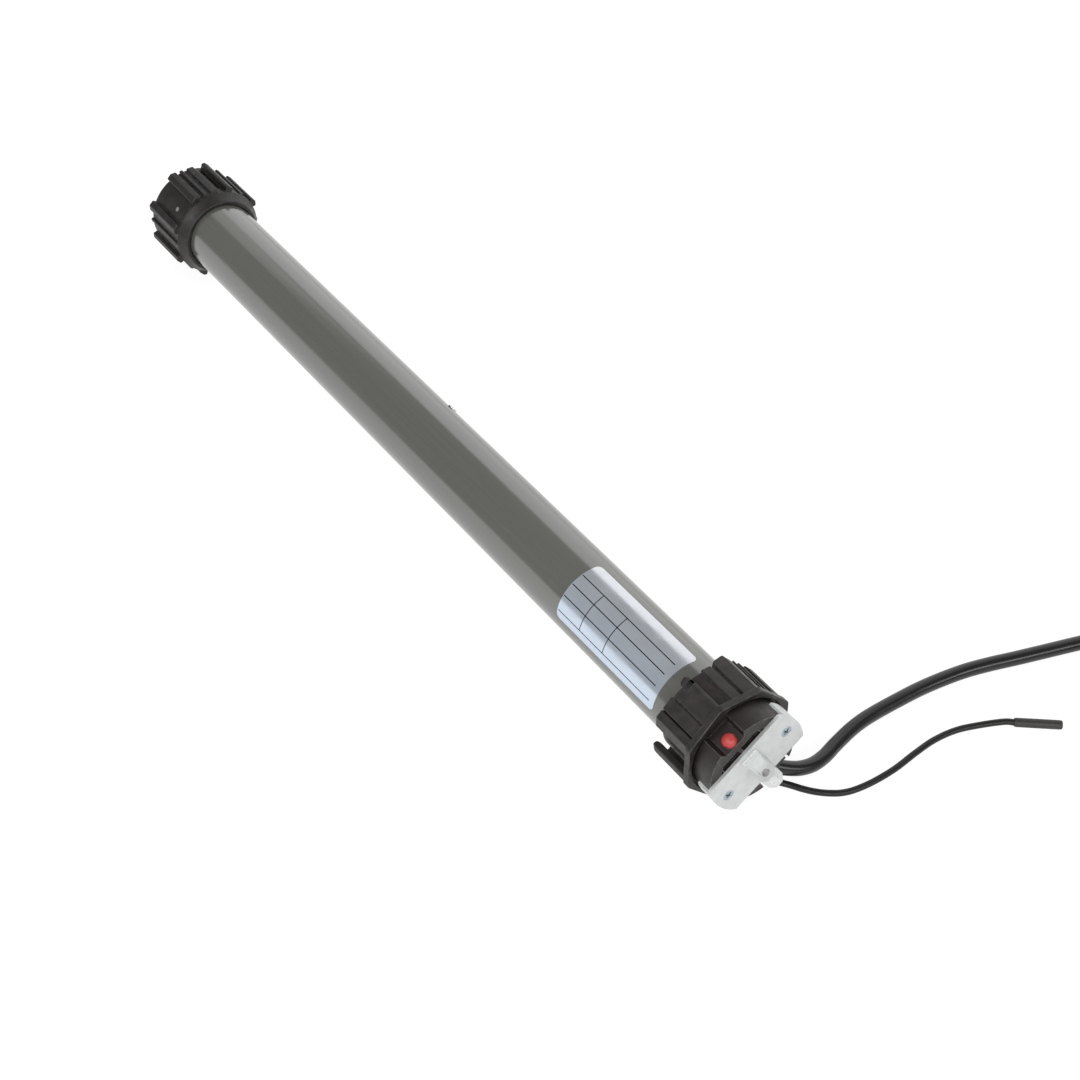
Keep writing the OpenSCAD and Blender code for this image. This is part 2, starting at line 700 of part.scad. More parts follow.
module front_shield() color("silver") on_axis() difference() {
    barrel(gearbox_end_s, shield_end_s, inner_r);
    barrel(gearbox_end_s + 2, shield_end_s + cut, motor_bush_r + fit_gap);
    barrel(gearbox_end_s - cut, shield_end_s, rotor_shaft_r + loose_gap);
}
module motor_bushes() color("goldenrod") on_axis() {
    pipe(gearbox_end_s + 2, gearbox_end_s + 2 + motor_bush_len, motor_bush_r, rotor_shaft_r + run_gap);
    pipe(rear_bush_s, rear_bush_s + motor_bush_len, motor_bush_r, rotor_shaft_r + run_gap);
}

module brake_lining() color("#5a4636") on_axis()
    pipe(shield_end_s, shield_end_s + lining_t, lining_r, lining_in_r);

module brake_disc() color("darkgray") on_axis() difference() {
    pipe(disc_s, disc_end_s, brake_disc_r, rotor_shaft_r + run_gap);
    for (a = [0, half_turn]) rotate(a) translate([drive_pin_orbit, 0, 0])
        barrel(disc_s - cut, disc_end_s + cut, drive_pin_r + run_gap);
}

module brake_spring() color("lightsteelblue") on_axis() swept_tube(spring_path, spring_wire_r, 6);

module rotor_shaft() color("lightsteelblue") on_axis() {
    sun_gear(narrow_s + 0.2, gearbox_end_s - 0.2);
    barrel(gearbox_end_s - 0.2, rear_shield_s + rear_shield_t - 1, rotor_shaft_r);
    barrel(collar_s, collar_s + collar_t, collar_r);
    for (a = [0, half_turn]) rotate(a) translate([drive_pin_orbit, 0, 0])
        barrel(disc_s + brake_travel, collar_s + eps, drive_pin_r);
}
module rotor_core() color("gray") on_axis() {
    pipe(stator_s, stator_end_s, rotor_r, rotor_shaft_r);
    pipe(stator_s - end_ring_len, stator_s, rotor_r - 0.6, rotor_shaft_r + 2);
    pipe(stator_end_s, stator_end_s + end_ring_len, rotor_r - 0.6, rotor_shaft_r + 2);
}

module stator_core() color("dimgray") on_axis() difference() {
    pipe(stator_s, stator_end_s, inner_r, stator_bore_r);
    for (k = [0:slots - 1]) rotate(k * 360 / slots)
        slab(slot_in_r, slot_out_r, -slot_w / 2, slot_w / 2, stator_s - cut, stator_end_s + cut);
}
module stator_windings() color("#b5652b") on_axis() {
    for (k = [0:slots - 1]) rotate(k * 360 / slots)
        slab(slot_in_r + 0.2, slot_out_r - 0.2, -coil_w / 2, coil_w / 2, stator_s - 1, stator_end_s + 1);
    pipe(stator_s - winding_len, stator_s - 0.5, slot_out_r, slot_in_r);
    pipe(stator_end_s + 0.5, stator_end_s + winding_len, slot_out_r, slot_in_r);
}

module rear_shield() color("silver") on_axis() difference() {
    barrel(rear_shield_s, rear_shield_s + rear_shield_t, inner_r);
    barrel(rear_shield_s - cut, rear_shield_s + rear_shield_t - 1, rotor_shaft_r + loose_gap);
    barrel(rear_bush_s, rear_bush_s + motor_bush_len + 0.2, motor_bush_r + fit_gap);
    for (a = tube_screw_clocks) clock(a)
        spoke(tube_screw_s, tube_r - screw_grip - 0.5, tube_r, screw_shank_r + fit_gap);
}

module run_capacitor() color("lightgray") on_axis() translate([0, capacitor_z, 0]) {
    barrel(capacitor_s, capacitor_s + capacitor_len, capacitor_r);
    for (x = [-4, 4]) translate([x, 0, 0]) barrel(capacitor_s + capacitor_len - eps,
        capacitor_s + capacitor_len + 4, 1);
}
module board_tray() color("#303234") on_axis() difference() {
    union() {
        pipe(tray_s, tray_end_s, tray_r, tray_r - tray_wall);
        for (s = [capacitor_s + saddle_t, capacitor_s + capacitor_len - 2 * saddle_t])
            barrel(s, s + saddle_t, tray_r - tray_wall + eps);
    }
    slab(-tube_r, tube_r, tray_level, tube_r, tray_s - cut, tray_end_s + cut);
    translate([0, capacitor_z, 0]) barrel(tray_s - cut, board_s, capacitor_r + 0.2);
}
module control_board() color("#1f5a3a") on_axis()
    slab(-board_w / 2, board_w / 2, tray_level, tray_level + board_t, board_s, board_end_s);
// Block on the board: width, height and length, from a station
module on_board(size, s) slab(-size[0] / 2, size[0] / 2, board_top, board_top + size[1], s, s + size[2]);
module relays() color("#20242a") on_axis() for (k = [0, 1]) on_board(relay_size, relay_s + k * relay_pitch);
module transformer() color("#c9a227") on_axis() on_board(transformer_size, transformer_s);
module terminal_block() color("#2e7d4f") on_axis() difference() {
    on_board(terminal_size, terminal_s);
    for (x = [-1, 0, 1]) translate([x * terminal_pitch, board_top + terminal_size[1] * 0.4, 0])
        barrel(terminal_s + terminal_size[2] / 3, board_end_s, terminal_hole_r);
}

module head_housing() color("#1c1c1e") in_head() difference() {
    union() {
        barrel(neck_s, head_s + eps, inner_r);
        difference() {
            barrel(head_s, head_end_s, head_r);
            intersection() {
                difference() {
                    barrel(head_end_s - lug_len, head_end_s + cut, head_r + cut);
                    translate([0, 0, head_end_s - lug_len])
                        cylinder(r1 = head_r, r2 = lug_r, h = lug_len + eps, $fn = 128);
                }
                slab(-head_r - cut, head_r + cut, -head_r - cut, opening_n, head_s, head_end_s + cut);
            }
        }
    }
    // Hollow of the neck, with a web that carries the encoder pinion's shaft
    barrel(neck_s - cut, web_s, neck_hollow_r);
    barrel(web_s - cut, web_s + web_t + cut, neck_hollow_r - web_ring);
    barrel(web_s + web_t, head_s - neck_floor, neck_hollow_r);
    // Encoder pinion: its window in the neck and its shaft bores
    clock(90) translate([0, pinion_orbit, 0]) {
        barrel(tooth_s - loose_gap, tooth_end_s + loose_gap, pinion_tip_r + pinion_window);
        barrel(pinion_shaft_s - shaft_end_gap, pinion_shaft_end_s + shaft_end_gap, pinion_shaft_r + run_gap);
    }
    // Button pocket with sloping sides, open to the front
    translate([0, 0, pocket_s]) linear_extrude(head_len) polygon([[-pocket_half_w, pocket_floor_n],
        [pocket_half_w, pocket_floor_n], [pocket_top_half_w, head_r + 2], [-pocket_top_half_w, head_r + 2]]);
    spoke(button_s, button_low_n - 0.2, head_r + cut, button_r + run_gap);
    // Hollow for the switch, and the way into it from the neck
    slab(-button_rim_r - loose_gap, button_rim_r + loose_gap, cavity_n, pocket_floor_n - floor_t,
        cavity_s, cavity_end_s);
    // Slots behind the upper edge of the plate
    intersection() {
        slab(-slot_half_span, slot_half_span, slot_low_n, slot_top_n,
            head_end_s - slot_deep, head_end_s + cut);
        barrel(head_end_s - slot_deep - cut, head_end_s + cut, slot_arc_r);
        union() for (side = [-1, 1]) for (i = [0, 1])
            mirror([side > 0 ? 0 : 1, 0, 0]) slab(slot_pairs[i][0], slot_pairs[i][1], 0, head_r,
                head_end_s - (i == 0 ? slot_shallow : slot_deep), head_end_s + cut);
    }
    // Lower opening for the cable plug and the antenna lead
    difference() {
        slab(opening_low_e, opening_high_e, -head_r - cut, opening_n,
            head_s + opening_in, head_end_s + cut);
        slab(gland_low_e, plug_low_e - gland_gap, gland_n, 0, head_s, head_end_s - gland_back);
    }
    slab(opening_low_e + opening_step, opening_high_e - opening_step, -neck_hollow_r + opening_step + 1,
        opening_n, head_s - opening_step, head_s + plug_in);
    // Recesses for the legs of the plate, screw bores and the bore for the stud's shank
    for (side = [-1, 1]) {
        intersection() {
            pipe(head_end_s - leg_len - leg_gap, head_end_s + cut, head_r + leg_t + cut, leg_r - leg_t - 0.1);
            slab(side > 0 ? 0 : -tube_d, side > 0 ? tube_d : 0, -leg_half_w - leg_side_gap,
                leg_half_w + leg_side_gap, head_s, head_end_s + cut);
        }
        translate([side * screw_spacing / 2, 0, 0])
            barrel(head_end_s - bracket_screw_len, head_end_s + cut, bracket_screw_r);
    }
    barrel(head_end_s - shank_len - shank_gap, head_end_s + cut, shank_head_r + shank_gap);
}

module crown_adapter() color("#1c1c1e") on_axis() difference() {
    union() {
        pipe(crown_s + 2, flange_s + eps, sleeve_r, sleeve_bore_r);
        pipe(lip_s, lip_end_s, sleeve_r, inner_r + run_gap);
        translate([0, 0, flange_s]) linear_extrude(flange_t) difference() {
            octagon(flange_af);
            circle(r = inner_r + run_gap);
        }
        for (turn = [0, half_turn]) for (p = crown_pads)
            pad(p[0] + turn, p[1] + turn, crown_s + p[2], flange_s + eps, p[3], adapter_af);
        for (turn = [0, half_turn]) intersection() {
            pad(crown_body[0] + turn, crown_body[1] + turn, crown_s + crown_body[2], flange_s + eps,
                pad_in_r, adapter_af);
            barrel(crown_s, flange_end_s, adapter_af / 2 - crown_body[3]);
        }
    }
    barrel(lip_end_s, flange_end_s + cut, counterbore_r);
    clock(encoder_clock) rotate(90)
        gear(crown_teeth, encoder_m, tooth_s - tooth_gap, tooth_end_s + tooth_gap, crown_root_r, crown_tip_r,
            -flank_lash);
}
module encoder_pinion() color("ivory") on_axis() clock(encoder_clock) translate([0, pinion_orbit, 0]) {
    rotate(90) gear(pinion_teeth, encoder_m, tooth_s, tooth_end_s, pinion_tip_r, pinion_root_r, flank_lash);
    barrel(pinion_shaft_s, pinion_shaft_end_s, pinion_shaft_r);
}

module switch_board() color("#1f5a3a") in_head()
    slab(-cavity_half_w, cavity_half_w, switch_board_n, tact_base_n, cavity_s + loose_gap,
        cavity_end_s - loose_gap);
module tact_switch() color("#202020") in_head() difference() {
    slab(-tact_w / 2, tact_w / 2, tact_base_n, tact_top_n, tact_s - tact_w / 2, tact_s + tact_w / 2);
    spoke(tact_s, tact_base_n + 0.4, tact_top_n + cut, plunger_r + run_gap);
}
module switch_plunger() color("ivory") in_head()
    spoke(tact_s, tact_base_n + 0.5 + button_travel, plunger_top_n, plunger_r);
// Domed button, with a rim below the pocket's floor that is cut straight behind the front wall
module setting_button() color("#c3313a") in_head() {
    translate([0, 0, button_s]) rotate([-90, 0, 0]) rotate_extrude() polygon(concat([[0, plunger_top_n]],
        [[button_r, plunger_top_n]],
        [for (a = [0:15:90]) [button_r * cos(a), button_top_n - button_dome + button_dome * sin(a)]]));
    intersection() {
        spoke(button_s, plunger_top_n, button_under_n, button_rim_r);
        slab(-tube_r, tube_r, 0, tube_r + cut, head_s, cavity_end_s - loose_gap);
    }
}

// Plate outline: a disc between two straight edges
module plate_outline() intersection() {
    circle(r = leg_r);
    square([2 * leg_r, plate_h], center = true);
}
module bracket_plate() color("#d5d8da") in_head() difference() {
    union() {
        translate([0, 0, head_end_s]) linear_extrude(plate_t) plate_outline();
        intersection() {
            pipe(head_end_s - leg_len, head_end_s + plate_t / 2, leg_r - leg_inset, leg_r - leg_t);
            slab(-tube_d, tube_d, -leg_half_w, leg_half_w, head_s, head_end_s + cut);
        }
    }
    for (side = [-1, 1]) translate([side * screw_spacing / 2, 0, 0]) {
        barrel(head_end_s - cut, plate_end_s + cut, bracket_screw_r + 0.3);
        translate([0, 0, plate_end_s - countersink_t])
            cylinder(r1 = bracket_screw_r + 0.3, r2 = bracket_screw_d / 2 + 0.1, h = countersink_t + eps);
    }
    barrel(head_end_s - cut, plate_end_s + cut, shank_r);
}
module bracket_screws() color("#b9c4cc") in_head() for (side = [-1, 1])
    translate([side * screw_spacing / 2, 0, 0]) difference() {
        union() {
            barrel(head_end_s - bracket_screw_len + 0.5, plate_end_s - countersink_t + eps,
                bracket_screw_r - fit_gap);
            translate([0, 0, plate_end_s - countersink_t])
                cylinder(r1 = bracket_screw_r - fit_gap, r2 = bracket_screw_d / 2, h = countersink_t);
        }
        for (a = [20, 110]) rotate(a) slab(-1.6, 1.6, -0.35, 0.35, plate_end_s - 1.1, plate_end_s + cut);
    }

module square_stud() color("#d5d8da") in_head() difference() {
    union() {
        translate([0, 0, plate_end_s]) linear_extrude(stud_len) stud_section();
        slab(-stud_w / 2, stud_w / 2, -stud_w / 2, stud_foot_n, plate_end_s, plate_end_s + stud_foot_t);
        barrel(head_end_s - shank_len, plate_end_s + eps, shank_r);
        barrel(head_end_s - shank_len, head_end_s, shank_head_r);
    }
    // Cross hole, and the chamfers at the tip
    translate([0, 0, stud_hole_s]) rotate([90, 0, 0])
        cylinder(r = stud_hole_d / 2, h = 2 * stud_w, center = true);
    for (side = [-1, 1]) translate([side * stud_w / 2, 0, stud_end_s]) rotate(-45 * side, [0, 1, 0])
        cube([stud_tip_chamfer * sqrt(2), 2 * stud_w, 4 * stud_tip_chamfer], center = true);
}
module stud_section() polygon([for (k = [0:3]) each [
    let (h = stud_w / 2, c = stud_w / 2 - stud_chamfer, s = [[1, 1], [-1, 1], [-1, -1], [1, -1]][k])
        (k % 2 == 0) ? [s[0] * h, s[1] * c] : [s[0] * c, s[1] * h],
    let (h = stud_w / 2, c = stud_w / 2 - stud_chamfer, s = [[1, 1], [-1, 1], [-1, -1], [1, -1]][k])
        (k % 2 == 0) ? [s[0] * c, s[1] * h] : [s[0] * h, s[1] * c]]]);

// Direction and place of the cable where it leaves the plug
module at_mains_exit() translate(mains_route[0])
    rotate([0, acos(mains_dir[2]), atan2(mains_dir[1], mains_dir[0])]) children();
module cable_plug() color("#151517") {
    in_head() slab(plug_low_e, plug_high_e, plug_low_n, plug_high_n, plug_s, plug_end_s);
    at_mains_exit() translate([0, 0, -boss_len]) cylinder(r = boss_r, h = boss_len);
}
module plug_pins() color("goldenrod") in_head() for (k = [0:plug_pins - 1])
    translate([(plug_low_e + plug_high_e) / 2 + (k - 1) * plug_pin_pitch, plug_high_n - 2.5, 0])
        barrel(plug_s - 4.5, plug_s, plug_pin_r);

module mains_cable() color("#151517") swept_tube(full_mains_route, mains_r, 10);
module mains_coil() color("#151517") swept_tube(coil_path, mains_r, coil_sides);
module antenna_lead() color("#151517") swept_tube(antenna_route, antenna_r, 8);
module antenna_sleeve() color("#151517") translate(antenna_route[antenna_last])
    rotate([0, acos(sleeve_dir[2]), atan2(sleeve_dir[1], sleeve_dir[0])])
        cylinder(r = sleeve_r_out, h = sleeve_len);

// Stripped cores, which lie on the lower layer of the coil
function core_path(k) = [for (i = [0:core_steps])
    let (t = i / core_steps, bend = max(0, t - 1 / core_steps), out = (k - 1) * core_pitch)
    coil_exit + coil_exit_dir * core_len * t
        + core_side * (out - core_len * bend * bend * core_bow)
        - [0, 0, core_drop * (1 - cos(180 * min(1, 1.8 * bend))) / 2]];
module cable_cores() color("sienna") for (k = [0:core_colors - 1]) swept_tube(core_path(k), core_r, 8);
module core_ferrules() color("silver") for (k = [0:core_colors - 1])
    let (p = core_path(k), last = p[core_steps], d = unit(last - p[core_steps - 1]))
        translate(last) rotate([0, acos(d[2]), atan2(d[1], d[0])]) cylinder(r = ferrule_r, h = ferrule_len);

motor_tube();
rating_label();
tube_screws();
drive_wheel();
wheel_set_screw();
output_carrier();
output_pins();
shaft_circlip();
end_plate();
end_plate_screws();
output_bush();
gearbox_housing();
third_planet_a();
third_planet_b();
third_planet_c();
second_carrier();
second_pins();
second_planet_a();
second_planet_b();
second_planet_c();
first_carrier();
first_pins();
first_planet_a();
first_planet_b();
first_planet_c();
front_shield();
motor_bushes();
brake_lining();
brake_disc();
brake_spring();
rotor_shaft();
rotor_core();
stator_core();
stator_windings();
rear_shield();
run_capacitor();
board_tray();
control_board();
relays();
transformer();
terminal_block();
head_housing();
crown_adapter();
encoder_pinion();
switch_board();
tact_switch();
switch_plunger();
setting_button();
bracket_plate();
bracket_screws();
square_stud();
cable_plug();
plug_pins();
mains_cable();
mains_coil();
cable_cores();
core_ferrules();
antenna_lead();
antenna_sleeve();
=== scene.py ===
import logging
import math
from dataclasses import dataclass
from enum import Enum
from typing import Callable, Iterable, Sequence

import bmesh
import bpy
import numpy as np
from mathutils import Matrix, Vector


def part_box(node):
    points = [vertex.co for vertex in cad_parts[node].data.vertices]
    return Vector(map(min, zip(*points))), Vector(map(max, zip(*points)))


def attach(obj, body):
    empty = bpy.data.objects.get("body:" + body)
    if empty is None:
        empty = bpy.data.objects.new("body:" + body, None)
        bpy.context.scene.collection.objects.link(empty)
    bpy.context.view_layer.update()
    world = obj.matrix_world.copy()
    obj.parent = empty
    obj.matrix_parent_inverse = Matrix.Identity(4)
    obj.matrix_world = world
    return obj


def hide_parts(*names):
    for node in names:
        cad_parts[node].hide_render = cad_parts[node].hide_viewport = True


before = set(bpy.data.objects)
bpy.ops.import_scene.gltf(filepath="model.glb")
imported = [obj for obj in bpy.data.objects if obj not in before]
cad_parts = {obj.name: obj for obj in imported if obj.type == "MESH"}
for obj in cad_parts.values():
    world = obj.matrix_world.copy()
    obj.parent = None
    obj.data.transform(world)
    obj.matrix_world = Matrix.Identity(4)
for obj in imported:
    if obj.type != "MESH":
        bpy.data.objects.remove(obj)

LOG = logging.getLogger("blind_motor")
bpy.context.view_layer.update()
MM = 0.001
# Station of the frame's origin, height of the axis, clock angle of the head and radius of the tube, all as in
# the part's source
MIDDLE_S = 272.9
AXIS_H = 31.0
HEAD_ROLL = math.radians(-36.3)
TUBE_R = 22.5

Socket = bpy.types.NodeSocket
Place = Callable[..., np.ndarray]


class Body(Enum):
    """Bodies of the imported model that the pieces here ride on."""

    CASING = "casing"
    DRIVE = "drive"
    CROWN = "crown"
    ROTOR = "rotor"
    BUTTON = "button"


def from_axis(s: np.ndarray, r: np.ndarray, clock: np.ndarray) -> np.ndarray:
    """Points in metres of stations along the motor, radii in mm and clock angles in degrees.

    Formula: x is the station less the origin's, y is r sin(clock), z is the axis height plus r cos(clock).
    """
    s, r, clock = np.broadcast_arrays(s, r, np.radians(clock))
    return np.stack([s - MIDDLE_S, r * np.sin(clock), AXIS_H + r * np.cos(clock)], axis=-1) * MM


def from_head(e: np.ndarray, n: np.ndarray, s: np.ndarray) -> np.ndarray:
    """Points in metres of the head's axes in mm: e along the plate, n to the button, s along the motor.

    Formula: e and n turned by the head's clock angle about the axis.
    """
    e, n, s = np.broadcast_arrays(e, n, s)
    cos, sin = math.cos(HEAD_ROLL), math.sin(HEAD_ROLL)
    return np.stack([s - MIDDLE_S, e * cos + n * sin, AXIS_H - e * sin + n * cos], axis=-1) * MM


def outwards(turn: float) -> Place:
    """Axes with x outwards at a clock angle in degrees, y square to it and s along the motor."""
    def place(x: np.ndarray, y: np.ndarray, s: np.ndarray) -> np.ndarray:
        """Points in metres of these axes."""
        x, y, s = np.broadcast_arrays(x, y, s)
        return from_axis(s, np.hypot(x, y), turn + np.degrees(np.arctan2(y, x)))

    return place


def unit(vectors: np.ndarray) -> np.ndarray:
    """Vectors of the last axis, each with length one."""
    return vectors / np.linalg.norm(vectors, axis=-1, keepdims=True)


def path_length(path: np.ndarray) -> float:
    """Length of the line through (n, 3) points."""
    return float(np.sum(np.linalg.norm(np.diff(path, axis=0), axis=1)))


def eased_ends(low: float, high: float, ease: float, middle: Sequence[float] = (),
               steps: int = 4) -> tuple[np.ndarray, np.ndarray]:
    """Places along a bar with rounded ends, and the share of its section's offsets at each of them.

    Formula: over a quarter turn at both ends the place eases by the sine of the angle and the share falls by
    its cosine; the places in the middle have the full share.
    """
    theta = np.radians(np.linspace(-90, 0, steps))
    near = ease * (1 + np.sin(theta))
    share = np.concatenate([np.cos(theta), np.ones(len(middle)), np.cos(theta)[::-1]])
    return np.concatenate([low + near, middle, high - near[::-1]]), share[:, None, None]


def rounded_outline(corners: Sequence[Sequence[float]], radius: float, steps: int = 4,
                    sharp: np.ndarray | None = None) -> tuple[np.ndarray, np.ndarray]:
    """Polygon with rounded corners, as core points and the offsets that reach the outline.

    Formula: each convex corner moves inwards by radius along its bisector, and an arc of offsets of that
    radius turns from the normal of the edge before it to that of the edge after it. A hollow or sharp corner
    stays, and the radius is at most nine tenths of the shorter edge beside the corner, so that the outline
    doesn't fold.

    Args:
        corners: The polygon's corners in order.
        radius: Radius of the rounding.
        steps: Steps of each arc.
        sharp: True for corners that stay sharp.

    Returns:
        Core points and offsets, each (count, 2).
    """
    p = np.asarray(corners, float)
    if np.sum(p[:, 0] * np.roll(p[:, 1], -1) - np.roll(p[:, 0], -1) * p[:, 1]) < 0:
        p = p[::-1]
        sharp = None if sharp is None else sharp[::-1]
    edge = np.roll(p, -1, axis=0) - p
    length = np.linalg.norm(edge, axis=1, keepdims=True)
    edge /= length
    room = 0.9 * np.minimum(length, np.roll(length, 1, axis=0))
    after = np.stack([edge[:, 1], -edge[:, 0]], axis=1)
    before = np.roll(after, 1, axis=0)
    last = np.roll(edge, 1, axis=0)
    hollow = last[:, 0] * edge[:, 1] - last[:, 1] * edge[:, 0] <= 1e-6
    keep = hollow if sharp is None else hollow | sharp
    size = np.minimum(np.where(keep, 0.0, radius)[:, None], room)
    core = p - size * (before + after) / (1 + np.sum(before * after, axis=1, keepdims=True))
    t = np.linspace(0, 1, steps + 1)[None, :, None]
    turn = before[:, None, :] * (1 - t) + after[:, None, :] * t
    turn *= size[:, None, :] / np.linalg.norm(turn, axis=2, keepdims=True)
    return np.repeat(core, steps + 1, axis=0), turn.reshape(-1, 2)


@dataclass
class Shell:
    """A surface as arrays: points in metres, faces of four and three corners, and a UV place per corner."""

    points: np.ndarray
    quads: np.ndarray
    tris: np.ndarray
    quad_uv: np.ndarray
    tri_uv: np.ndarray

    @classmethod
    def grid(cls, points: np.ndarray, wrap_u: bool = False, wrap_v: bool = False, caps: bool = False,
             uv: np.ndarray | None = None) -> "Shell":
        """Surface through a grid of points.

        Formula: every cell of the grid is a face between its four neighbours; a wrapped side joins its last
        line to its first; a cap is a fan round the mean of the first or last line.

        Args:
            points: (nu, nv, 3) points in metres.
            wrap_u: Joins the last line of u to the first.
            wrap_v: Joins the last line of v to the first.
            caps: Closes the first and the last line of u.
            uv: (nu, nv, 2), one more line on each wrapped side.

        Returns:
            The surface.
        """
        nu, nv = points.shape[:2]
        i = np.arange(nu if wrap_u else nu - 1)[:, None]
        j = np.arange(nv if wrap_v else nv - 1)[None, :]
        cell = [(i, j), (i + 1, j), (i + 1, j + 1), (i, j + 1)]
        quads = np.stack([np.broadcast_to((a % nu) * nv + b % nv, (i.size, j.size)) for a, b in cell], -1)
        if uv is None:
            uv = np.zeros((nu + 1, nv + 1, 2))
        quad_uv = np.stack([uv[a, b] for a, b in cell], axis=2).reshape(-1, 4, 2)
        flat = points.reshape(-1, 3)
        tris, tri_uv = np.zeros((0, 3), int), np.zeros((0, 3, 2))
        if caps:
            ring = np.arange(nv)
            after = (ring + 1) % nv
            near = np.stack([np.full(nv, len(flat)), after, ring], -1)
            far = np.stack([np.full(nv, len(flat) + 1), (nu - 1) * nv + ring, (nu - 1) * nv + after], -1)
            tris = np.concatenate([near, far])
            tri_uv = np.concatenate([np.tile(uv[0, 0], (nv, 3, 1)), np.tile(uv[nu - 1, 0], (nv, 3, 1))])
            flat = np.concatenate([flat, points[0].mean(0)[None], points[-1].mean(0)[None]])
        return cls(flat, quads.reshape(-1, 4), tris, quad_uv, tri_uv)

    @classmethod
    def joined(cls, shells: Iterable["Shell"]) -> "Shell":
        """One surface of several, whose points follow each other."""
        parts = list(shells)
        start = np.cumsum([0] + [len(p.points) for p in parts])
        return cls(np.concatenate([p.points for p in parts]),
                   np.concatenate([p.quads + k for p, k in zip(parts, start)]),
                   np.concatenate([p.tris + k for p, k in zip(parts, start)]),
                   np.concatenate([p.quad_uv for p in parts]), np.concatenate([p.tri_uv for p in parts]))

    def placed(self, name: str, closed: bool = True, crease: float = 35.0) -> bpy.types.Object:
        """Object of this surface, at the origin, with outward faces and closed seams.

        Args:
            name: The object's name.
            closed: Turns the faces outwards by the closed form.
            crease: Angle between faces above which an edge is shaded sharp.

        Returns:
            The linked object.
        """
        mesh = bpy.data.meshes.new(name)
        corners = np.concatenate([self.quads.ravel(), self.tris.ravel()])
        starts = np.concatenate([np.arange(len(self.quads)) * 4,
                                 len(self.quads) * 4 + np.arange(len(self.tris)) * 3])
        mesh.vertices.add(len(self.points))
        mesh.vertices.foreach_set("co", self.points.astype(np.float32).ravel())
        mesh.loops.add(len(corners))
        mesh.loops.foreach_set("vertex_index", corners.astype(np.int32))
        mesh.polygons.add(len(starts))
        mesh.polygons.foreach_set("loop_start", starts.astype(np.int32))
        mesh.update(calc_edges=True)
        uv = np.concatenate([self.quad_uv.ravel(), self.tri_uv.ravel()])
        mesh.uv_layers.new(name="surface").data.foreach_set("uv", uv.astype(np.float32))
        form = bmesh.new()
        form.from_mesh(mesh)
        bmesh.ops.remove_doubles(form, verts=form.verts, dist=2e-7)
        bmesh.ops.dissolve_degenerate(form, edges=form.edges, dist=1e-7)
        if closed:
            bmesh.ops.recalc_face_normals(form, faces=form.faces)
        form.to_mesh(mesh)
        form.free()
        mesh.shade_smooth()
        mesh.set_sharp_from_angle(angle=math.radians(crease))
        piece = bpy.data.objects.new(name, mesh)
        bpy.context.scene.collection.objects.link(piece)
        if closed:
            weighted = piece.modifiers.new("even_shading", "WEIGHTED_NORMAL")
            weighted.keep_sharp = True
        return piece


def lathe(profile: Sequence[Sequence[float]], radius: float, segments: int = 128,
          place: Place = from_axis) -> Shell:
    """Turned solid of a closed profile.

    Formula: the rounded profile of stations and radii is carried once round the axis.

    Args:
        profile: Corners (station, radius) in mm.
        radius: Rounding of the corners off the axis, in mm.
        segments: Steps round the axis.
        place: Turns stations, radii and angles into points in metres.

    Returns:
        The closed surface.
    """
    corners = np.asarray(profile, float)
    core, out = rounded_outline(corners, radius, sharp=corners[:, 1] <= 1e-6)
    ring = core + out
    phi = np.linspace(0, 360, segments + 1)
    points = place(ring[None, :, 0], np.maximum(ring[None, :, 1], 0), phi[:-1, None])
    run = np.append(0, np.cumsum(np.hypot(*(np.roll(ring, -1, axis=0) - ring).T)))
    uv = np.stack(np.broadcast_arrays(phi[:, None] / 360, run[None, :]), -1)
    return Shell.grid(points, wrap_u=True, wrap_v=True, uv=uv)


def octagon_radius(across: float, clock: np.ndarray, softness: float = 70.0) -> np.ndarray:
    """Radius of an octagon with softened corners.

    Formula: half the distance across flats, divided by the power mean of the cosines of the angles to the
    flats.
    """
    turn = np.radians(np.asarray(clock, float)[..., None] - np.arange(8) * 45.0)
    return across / 2 * np.sum(np.maximum(np.cos(turn), 0) ** softness, axis=-1) ** (-1 / softness)


